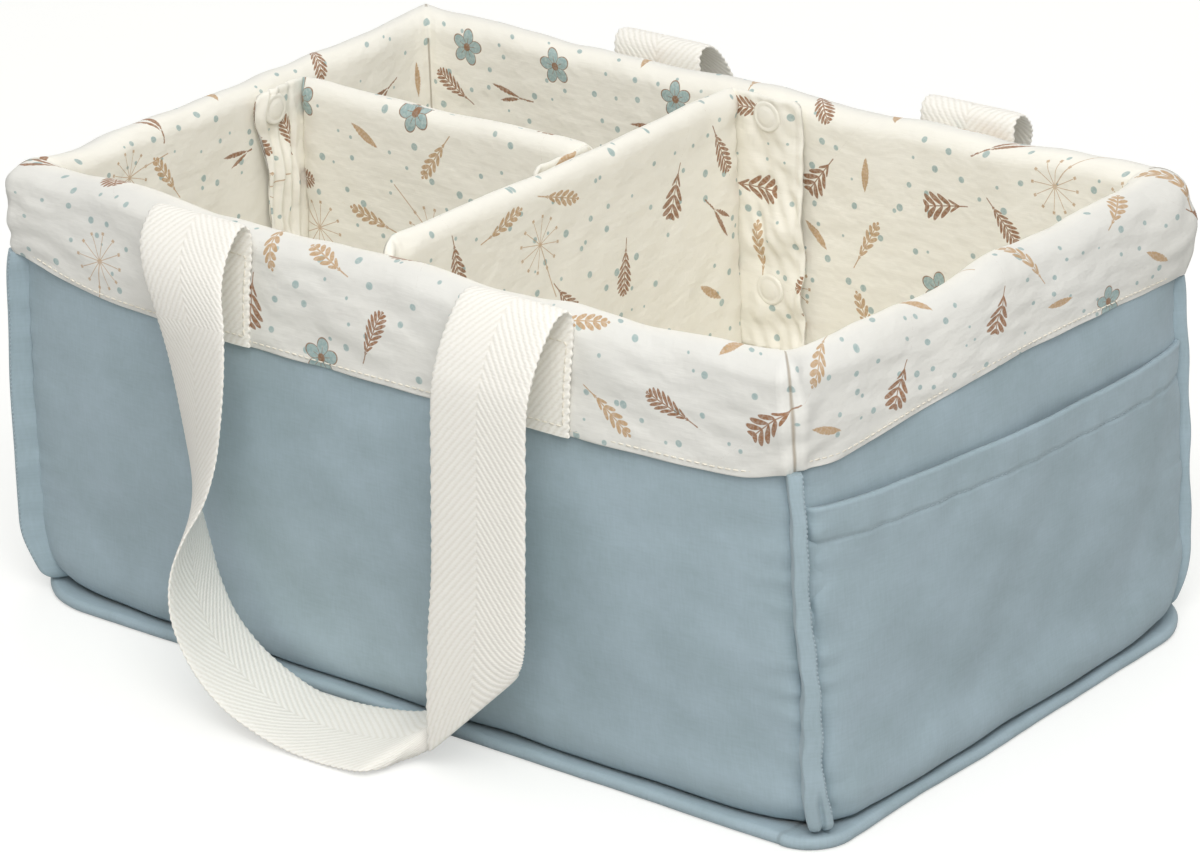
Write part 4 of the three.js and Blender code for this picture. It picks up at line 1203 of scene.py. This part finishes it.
def relief(*layers):
    """Bumps laid over one another, each a height, its strength and its distance in metres."""
    bent = {}
    for height, strength, distance in layers:
        inputs = {"Height": height, "Strength": strength, "Distance": distance, **bent}
        bent = {"Normal": node(height.tree, "Bump", inputs)}
    return bent["Normal"]


def canvas(tree):
    """Cotton canvas, plain woven: matte, with slubs along both threads and a faint sheen."""
    mm = cloth_place(tree)
    # Threads are 0.5 mm apart in the cloth and drawn at 0.8 mm, so that they show
    threads = grain(mm, 1.25, 0.16) + grain(mm, 0.16, 1.25)
    # Handling and folding leave greyer patches some 20 to 40 mm wide
    patch = node(tree, "MapRange", (grain(mm, 0.03, 0.04, 3.0), 0.34, 0.66, 0.2, 0.78))
    shade = node(tree, "MapRange", (threads, 0.7, 1.3, -0.2, 0.2))
    blend = node(tree, "Math", (patch, shade), operation="ADD", use_clamp=True)
    return {
        "Base Color": paint(blend, "canvas_shade", "canvas"),
        "Roughness": 0.82, "Sheen Weight": 0.15, "Specular IOR Level": 0.3,
        "Normal": relief((threads, 0.25, 0.0001), (grain(mm, 0.04, 0.06), 0.5, 0.0012)),
    }


def scatter(place, cell, seed, jitter):
    """One motif in each cell of a jittered grid.

    Gives its local place, turned, two random numbers, and the place of the motif's middle.
    """
    tree, shift = place.tree, (seed * 37.7, seed * 19.3, 0)
    moved = node(tree, "VectorMath", (place, shift), operation="ADD")
    centre = node(
        tree, "TexVoronoi", {"Vector": moved, "Scale": 1.0 / cell, "Randomness": jitter},
        out="Position", voronoi_dimensions="2D",
    )
    away = node(tree, "VectorMath", (moved, centre), operation="SUBTRACT")
    chance = node(tree, "SeparateColor", (centre.output("Color"),))
    angle = chance * (2 * math.pi)
    turned = node(tree, "VectorRotate", {"Vector": away, "Angle": angle}, rotation_type="Z_AXIS")
    x = node(tree, "SeparateXYZ", (turned,))
    middle = node(tree, "VectorMath", (centre, shift), operation="SUBTRACT")
    return x, x.output(1), chance.output(1), chance.output(2), middle


def leaf(x, y, half_length, half_width):
    """A pointed leaf: |y| < width (1 - (x / length)^2)."""
    t = x / half_length
    return below(abs(y) - (1 - t * t) * half_width, -0.12, 0.3)


def sprig(x, y, half_length, half_width, pitch):
    """A fern sprig. With t = x - 1.2 |y| + 0.05 y^2, leaflets lie pitch apart along t.

    A leaflet is drawn where |t - its middle| < 0.4 pitch (0.2 + 3.4 s (1 - s)), where s is
    |y| / (width (1 - (t / length)^2)), so that it is slim at the stem and at its tip.
    """
    away = abs(y)
    slanted = x - (away * 1.2 + away * away * -0.05)
    t = slanted / half_length
    tip = (away / ((1 - t * t) * half_width | 0.01)).maths("MINIMUM", 1.5)
    thick = tip * (1 - tip) * 3.4 + 0.2
    gap = slanted.maths("PINGPONG", pitch / 2) - thick * (pitch * 0.4)
    leaflets = below(gap, -0.1, 0.25) * below(tip, 0.92, 0.1)
    stem = below(away, 0.13, 0.22) * below(abs(x + half_length * 0.2), half_length * 1.15, 0.5)
    return leaflets | stem


def fork(x, y, half_length, half_width):
    """Two slim leaves that spread from one stalk: leaves about y = 0.2 (x + l) and -0.24 (x + l)."""
    foot = x + half_length * 1.2
    first = leaf(x, y - foot * 0.2, half_length, half_width)
    second = leaf(x + half_length * 0.25, y + foot * 0.24, half_length * 0.7, half_width * 0.85)
    stalk = below(abs(y), 0.2, 0.25) * below(abs(x + half_length * 1.5), half_length * 0.5, 0.4)
    return first | second | stalk


def polar(x, y):
    """Distance and angle of a local place."""
    return (x * x + y * y).maths("SQRT"), y.maths("ARCTAN2", x)


def blossom(x, y, radius):
    """A five-petalled blossom: r < radius (0.55 + 0.45 |cos(2.5 angle)|), with lines and eye."""
    r, angle = polar(x, y)
    gap = r - (abs((angle * 2.5).maths("COSINE")) * (radius * 0.45) + radius * 0.55)
    rays = below(abs((angle * 5.0).maths("SINE")) * r, 0.35, 0.4) * below(r, radius * 0.5, 0.5)
    return below(gap, -0.1, 0.3), below(abs(gap), 0.14, 0.25) | below(r, radius * 0.2, 0.3) | rays


def seed_head(x, y, radius):
    """A round seed head: fine rays from its middle that end in dots, and a stalk."""
    r, angle = polar(x, y)
    ray = abs((angle * 6.0).maths("SINE")) * r
    rays = below(ray, 0.55, 0.7) * below(r, radius * 0.8, 0.3)
    tips = below(abs(r - radius * 0.88), 0.45, 0.3) * below(ray, 3.2, 0.8)
    stalk = below(abs(y), 0.13, 0.22) * below(abs(x + radius), radius, 0.5)
    return rays | tips | stalk


def choose(mask, chance, low, high):
    """A motif's mask, kept only where its cell's random number lies between low and high."""
    return mask * ((chance > low) * (chance < high))


def printed_cotton(tree):
    """Printed cotton, fine plain weave: matte, with a botanical print and tiny sage dots."""
    mm = cloth_place(tree)
    warm = node(tree, "MapRange", (grain(mm, 0.02, 0.02), 0.3, 0.7, 0.0, 0.12))
    # The cuff value is 1 on the cuff and 0 inside. The one cloth is painted darker and greyer on the cuff
    # as painted shade, and creamier inside as painted warm bounce light
    cuff = node(tree, "Attribute", out="Fac", attribute_name="cuff")
    painted = paint(warm, paint(cuff, "ground", "cuff_shaded_ground"), "thread_pale")
    wear = node(tree, "MapRange", (grain(mm, 0.9, 0.9), 0.3, 0.6, 0.72, 1.0))
    x, y, kind, _, middle = scatter(mm, 31.0, 1, 0.5)
    # A small motif whose middle lies within 19 mm of a large one is left out
    near_x, near_y, near_kind, _, _ = scatter(middle, 58.0, 2, 0.6)
    kind = kind + (polar(near_x, near_y)[0] < 19.0) * (near_kind < 0.84)
    ragged_y = y + (node(tree, "TexNoise", {"Vector": mm, "Scale": 0.9, "Detail": 2.0}) - 0.5)
    brown = choose(sprig(x, y, 9.5, 4.2, 2.3), kind, 0.0, 0.26)
    brown = brown | choose(fork(x, ragged_y, 7.5, 1.0), kind, 0.26, 0.38)
    tan = choose(leaf(x, ragged_y, 7.5, 1.7), kind, 0.38, 0.62)
    tan = tan | choose(sprig(x, y, 10.5, 3.2, 3.4), kind, 0.62, 0.78)
    x, y, kind, _, _ = scatter(mm, 58.0, 2, 0.6)
    brown = brown | choose(sprig(x, y, 9.0, 6.0, 3.6), kind, 0.0, 0.3)
    heads = choose(seed_head(x, y, 12.0), kind, 0.3, 0.62)
    petals, lines = (choose(part, kind, 0.62, 0.84) for part in blossom(x, y, 7.8))
    x, y, kind, growth, _ = scatter(mm, 11.5, 3, 0.95)
    dot_size = node(tree, "MapRange", (growth, 0.0, 1.0, 0.5, 1.5))
    dots = choose(below(polar(x, y)[0] - dot_size, -0.15, 0.35), kind, 0.0, 0.75)
    for mask, name, strength in (
        (dots, "motif_sage", 0.85), (tan, "motif_tan", 0.9), (heads, "motif_tan", 0.8),
        (brown, "motif_brown", 0.95), (petals, "motif_sage", 0.95), (lines, "motif_brown", 0.9),
    ):
        painted = paint(mask * wear * strength, painted, name)
    # The seam value is 10 on a corner seam and falls by 1 for each millimetre beside it. There the print
    # is painted towards the board colour as painted shade in the seam's hollow
    seam = below(10.0 - node(tree, "Attribute", out="Fac", attribute_name="seam"), 0.15, 0.55)
    # Threads are 0.35 mm apart in the cloth and drawn at 0.8 mm
    weave = grain(mm, 1.25, 0.15) + grain(mm, 0.15, 1.25) - seam * 6.0
    return {
        "Base Color": paint(seam * 0.65, painted, "board"),
        "Roughness": 0.86, "Sheen Weight": 0.1, "Specular IOR Level": 0.3,
        "Normal": relief((weave, 0.5, 0.00015), (grain(mm, 0.085, 0.12), 0.7, 0.0014)),
    }


def webbing(tree):
    """Cotton webbing in herringbone twill: two slanted halves that meet on a middle spine."""
    mm = cloth_place(tree)
    across = node(tree, "SeparateXYZ", (mm,))
    away, along = abs(across), across.output(1)
    # Ribs are 3.4 mm apart along the strap, with fine yarns 1.1 mm apart on each
    saw = (along - away * 1.2).maths("PINGPONG", 1.7)
    rib = node(tree, "MapRange", (saw, 0.0, 1.6, 0.0, 1.0), interpolation_type="SMOOTHSTEP")
    yarn = (along * (2 * math.pi / 1.1)).maths("SINE")
    height = yarn * 0.1 + rib + grain(mm, 1.3, 1.3) * 0.7 - below(away, 0.2, 0.5) * 0.3
    # The colour darkens with the height: painted shade in the ribs' hollows and along the middle spine
    shade = node(tree, "MapRange", (height, 0.2, 1.1, 0.6, 1.0))
    return {
        "Base Color": paint(shade, "webbing_shade", "webbing"),
        "Roughness": 0.9, "Sheen Weight": 0.1, "Specular IOR Level": 0.25,
        "Normal": relief((height, 0.4, 0.0004)),
    }


def snap_plastic(tree):
    """Moulded snap plastic, acetal: smooth and slightly glossy, with a faint moulded grain."""
    mould = speckle(tree, 900.0, 2.0)
    tone = node(tree, "MapRange", (mould, 0.3, 0.7, 0.0, 0.12))
    return {
        "Base Color": paint(tone, "snap", "thread_pale"),
        "Roughness": 0.38, "IOR": 1.48,
        "Normal": relief((mould, 0.15, 0.00005)),
    }


def thread(tree, name):
    """Spun polyester sewing thread: matte, with a fine twist."""
    twist = speckle(tree, 2500.0, 1.0)
    return {"Base Color": paint(twist * 0.2, name, "webbing_shade"), "Roughness": 0.75}


def board(tree):
    """Pressed fibre board: matte brown with a fine fleck."""
    fleck = speckle(tree, 700.0, 3.0)
    return {"Base Color": paint(fleck, "board", "webbing_shade"), "Roughness": 0.85}


def paper(tree):
    """Seamless paper backdrop: pale, matte, faintly mottled, white to the camera."""
    seen = node(tree, "LightPath", out="Is Camera Ray")
    return {
        "Base Color": paint(speckle(tree, 3.0, 2.0) * 0.03, "floor", "webbing_shade"),
        "Roughness": 0.9, "Specular IOR Level": 0.1,
        "Emission Color": tint("floor"), "Emission Strength": seen * 0.85,
    }


# Material of each look: its name, and the function that gives its shader's inputs
LOOKS = {
    "canvas": ("cotton_canvas_plain_woven", canvas),
    "printed_cotton": ("cotton_percale_printed", printed_cotton),
    "webbing": ("cotton_webbing_herringbone", webbing),
    "snap_plastic": ("acetal_moulded", snap_plastic),
    "board": ("fibre_board_pressed", board),
    "thread_pale": ("polyester_thread_pale", thread, "thread_pale"),
    "thread_blue": ("polyester_thread_blue", thread, "thread_blue"),
    "paper": ("paper_backdrop", paper),
}


def material(look):
    """The material of a look, made the first time that it is asked for."""
    name, inputs, *words = LOOKS[look]
    if name not in bpy.data.materials:
        made = bpy.data.materials.new(name)
        made.use_nodes = True
        tree = made.node_tree
        feed(tree, tree.nodes["Principled BSDF"], inputs(tree, *words))
    return bpy.data.materials[name]


# Stage


def studio_world():
    """Even light from all sides, which the camera, gloss and glass see as plain white."""
    world = bpy.data.worlds.new("studio")
    world.use_nodes = True
    tree = world.node_tree
    camera = node(tree, "LightPath", out="Is Camera Ray")
    seen = camera | camera.output("Is Glossy Ray") | camera.output("Is Transmission Ray")
    level = seen * (1.0 - WORLD_LIGHT) + WORLD_LIGHT
    feed(tree, tree.nodes["Background"], {"Color": (1.0, 1.0, 1.0, 1.0), "Strength": level})
    return world


def make_lamp(name, place, aim, power, width):
    """A square lamp at a place, turned towards its aim."""
    lamp = bpy.data.lights.new(name, "AREA")
    lamp.energy = power
    lamp.size = width
    holder = bpy.data.objects.new(name, lamp)
    holder.location = place
    x, y, z = np.array(aim) - np.array(place)
    tilt = math.pi / 2 + math.atan2(z, math.hypot(x, y))
    holder.rotation_euler = (tilt, 0.0, math.atan2(y, x) - math.pi / 2)
    bpy.context.collection.objects.link(holder)


def make_camera(scene):
    """The photograph's camera: its place, its direction by azimuth, elevation and roll, its lens."""
    azimuth, elevation, roll = (math.radians(angle) for angle in CAMERA_TURN)
    level = math.cos(elevation)
    back = np.array([math.sin(azimuth) * level, -math.cos(azimuth) * level, math.sin(elevation)])
    right = np.array([math.cos(azimuth), math.sin(azimuth), 0.0])
    up = np.cross(back, right)
    matrix = np.eye(4)
    matrix[:3, 0] = right * math.cos(roll) + up * math.sin(roll)
    matrix[:3, 1] = up * math.cos(roll) - right * math.sin(roll)
    matrix[:3, 2] = back
    matrix[:3, 3] = CAMERA_PLACE
    lens = bpy.data.cameras.new("camera")
    lens.sensor_width = CAMERA_SENSOR
    lens.lens = CAMERA_LENS
    lens.clip_end = 50.0
    scene.camera = bpy.data.objects.new("camera", lens)
    scene.camera.matrix_world = Matrix(matrix.tolist())
    bpy.context.collection.objects.link(scene.camera)


# Operators


class CADDY_OT_stage(bpy.types.Operator):
    """Makes the floor, the lights and the camera"""

    bl_idname = "caddy.stage"
    bl_label = "Stage, lights and camera"

    def execute(self, context):
        corners = np.array([(-1, -1, 0), (1, -1, 0), (1, 1, 0), (-1, 1, 0)]) * FLOOR_HALF
        floor = new_piece("studio_floor", corners, [[0, 1, 2, 3]], smooth=False)
        floor.data.materials.append(material("paper"))
        context.scene.world = studio_world()
        for lamp in LAMPS:
            make_lamp(*lamp)
        make_camera(context.scene)
        context.scene.view_settings.view_transform = "Standard"
        return {"FINISHED"}


class CADDY_OT_walls(bpy.types.Operator):
    """Makes the four canvas walls"""

    bl_idname = "caddy.walls"
    bl_label = "Walls"

    def execute(self, context):
        for name in WALLS:
            make_wall(name)
        return {"FINISHED"}


class CADDY_OT_corner_seams(bpy.types.Operator):
    """Makes the four upright corner seams and their stitches"""

    bl_idname = "caddy.corner_seams"
    bl_label = "Corner seams"

    def execute(self, context):
        for signs in CORNERS:
            make_corner_seam(*signs)
        return {"FINISHED"}


class CADDY_OT_lining(bpy.types.Operator):
    """Makes the printed lining with its cuff"""

    bl_idname = "caddy.lining"
    bl_label = "Printed lining"

    def execute(self, context):
        make_lining()
        return {"FINISHED"}


class CADDY_OT_pockets(bpy.types.Operator):
    """Makes the flat pockets of the end walls"""

    bl_idname = "caddy.pockets"
    bl_label = "End pockets"

    def execute(self, context):
        for name in ("right", "left"):
            make_pocket(name)
        return {"FINISHED"}


class CADDY_OT_base(bpy.types.Operator):
    """Makes the base welt, the sole and the padded floor"""

    bl_idname = "caddy.base"
    bl_label = "Base and floor"

    def execute(self, context):
        make_base_welt()
        make_floor()
        return {"FINISHED"}


class CADDY_OT_dividers(bpy.types.Operator):
    """Makes the two padded dividers"""

    bl_idname = "caddy.dividers"
    bl_label = "Dividers"

    def execute(self, context):
        end_x, end_y = (inner_half(axis) - DIVIDER_GAP for axis in "xy")
        crossing = CROSS_X - CROSS_HALF - DIVIDER_GAP
        make_divider("cross_divider", (CROSS_X, end_y), (CROSS_X, -end_y), CROSS_TOP, 3)
        make_divider("long_divider", (-end_x, LONG_Y), (crossing, LONG_Y), LONG_TOP, 5)
        return {"FINISHED"}


class CADDY_OT_tabs(bpy.types.Operator):
    """Makes the snap tabs and their snaps"""

    bl_idname = "caddy.tabs"
    bl_label = "Tabs and snaps"

    def execute(self, context):
        for name, tab in tabs():
            make_tab(name, tab)
            for level_name, drop in SNAP_DROPS.items():
                make_snaps(name, tab, level_name, node_box(name)[1][2] - drop)
        return {"FINISHED"}


class CADDY_OT_handles(bpy.types.Operator):
    """Makes the two webbing handles"""

    bl_idname = "caddy.handles"
    bl_label = "Webbing handles"

    def execute(self, context):
        for name, side in (("front", -1), ("back", 1)):
            make_handle(name, side, HANDLE_MIDDLE[name])
        return {"FINISHED"}


class CADDY_OT_stitching(bpy.types.Operator):
    """Makes the rows of stitching on the cuff and the pockets"""

    bl_idname = "caddy.stitching"
    bl_label = "Stitching"

    def execute(self, context):
        make_hem_stitches()
        return {"FINISHED"}


class CADDY_PT_panel(bpy.types.Panel):
    """Lists the caddy's pieces, sizes and colours"""

    bl_idname = "CADDY_PT_panel"
    bl_label = "Padded Caddy"
    bl_space_type = "VIEW_3D"
    bl_region_type = "UI"
    bl_category = "Caddy"

    def draw(self, context):
        for operator in OPERATORS:
            self.layout.operator(operator.bl_idname)
        for group in (context.scene.caddy_sizes, context.scene.caddy_colours):
            for name in group.__annotations__:
                self.layout.prop(group, name)


OPERATORS = (
    CADDY_OT_stage, CADDY_OT_walls, CADDY_OT_corner_seams, CADDY_OT_lining, CADDY_OT_pockets,
    CADDY_OT_base, CADDY_OT_dividers, CADDY_OT_tabs, CADDY_OT_handles, CADDY_OT_stitching,
)
CLASSES = (CaddySizes, CaddyColours, *OPERATORS, CADDY_PT_panel)


def register():
    for item in CLASSES:
        bpy.utils.register_class(item)
    bpy.types.Scene.caddy_sizes = bpy.props.PointerProperty(type=CaddySizes)
    bpy.types.Scene.caddy_colours = bpy.props.PointerProperty(type=CaddyColours)


def unregister():
    del bpy.types.Scene.caddy_colours
    del bpy.types.Scene.caddy_sizes
    for item in reversed(CLASSES):
        bpy.utils.unregister_class(item)


def main():
    register()
    bpy.ops.caddy.stage()
    bpy.ops.caddy.walls()
    bpy.ops.caddy.corner_seams()
    bpy.ops.caddy.lining()
    bpy.ops.caddy.pockets()
    bpy.ops.caddy.base()
    bpy.ops.caddy.dividers()
    bpy.ops.caddy.tabs()
    bpy.ops.caddy.handles()
    bpy.ops.caddy.stitching()


if __name__ == "__main__":
    main()
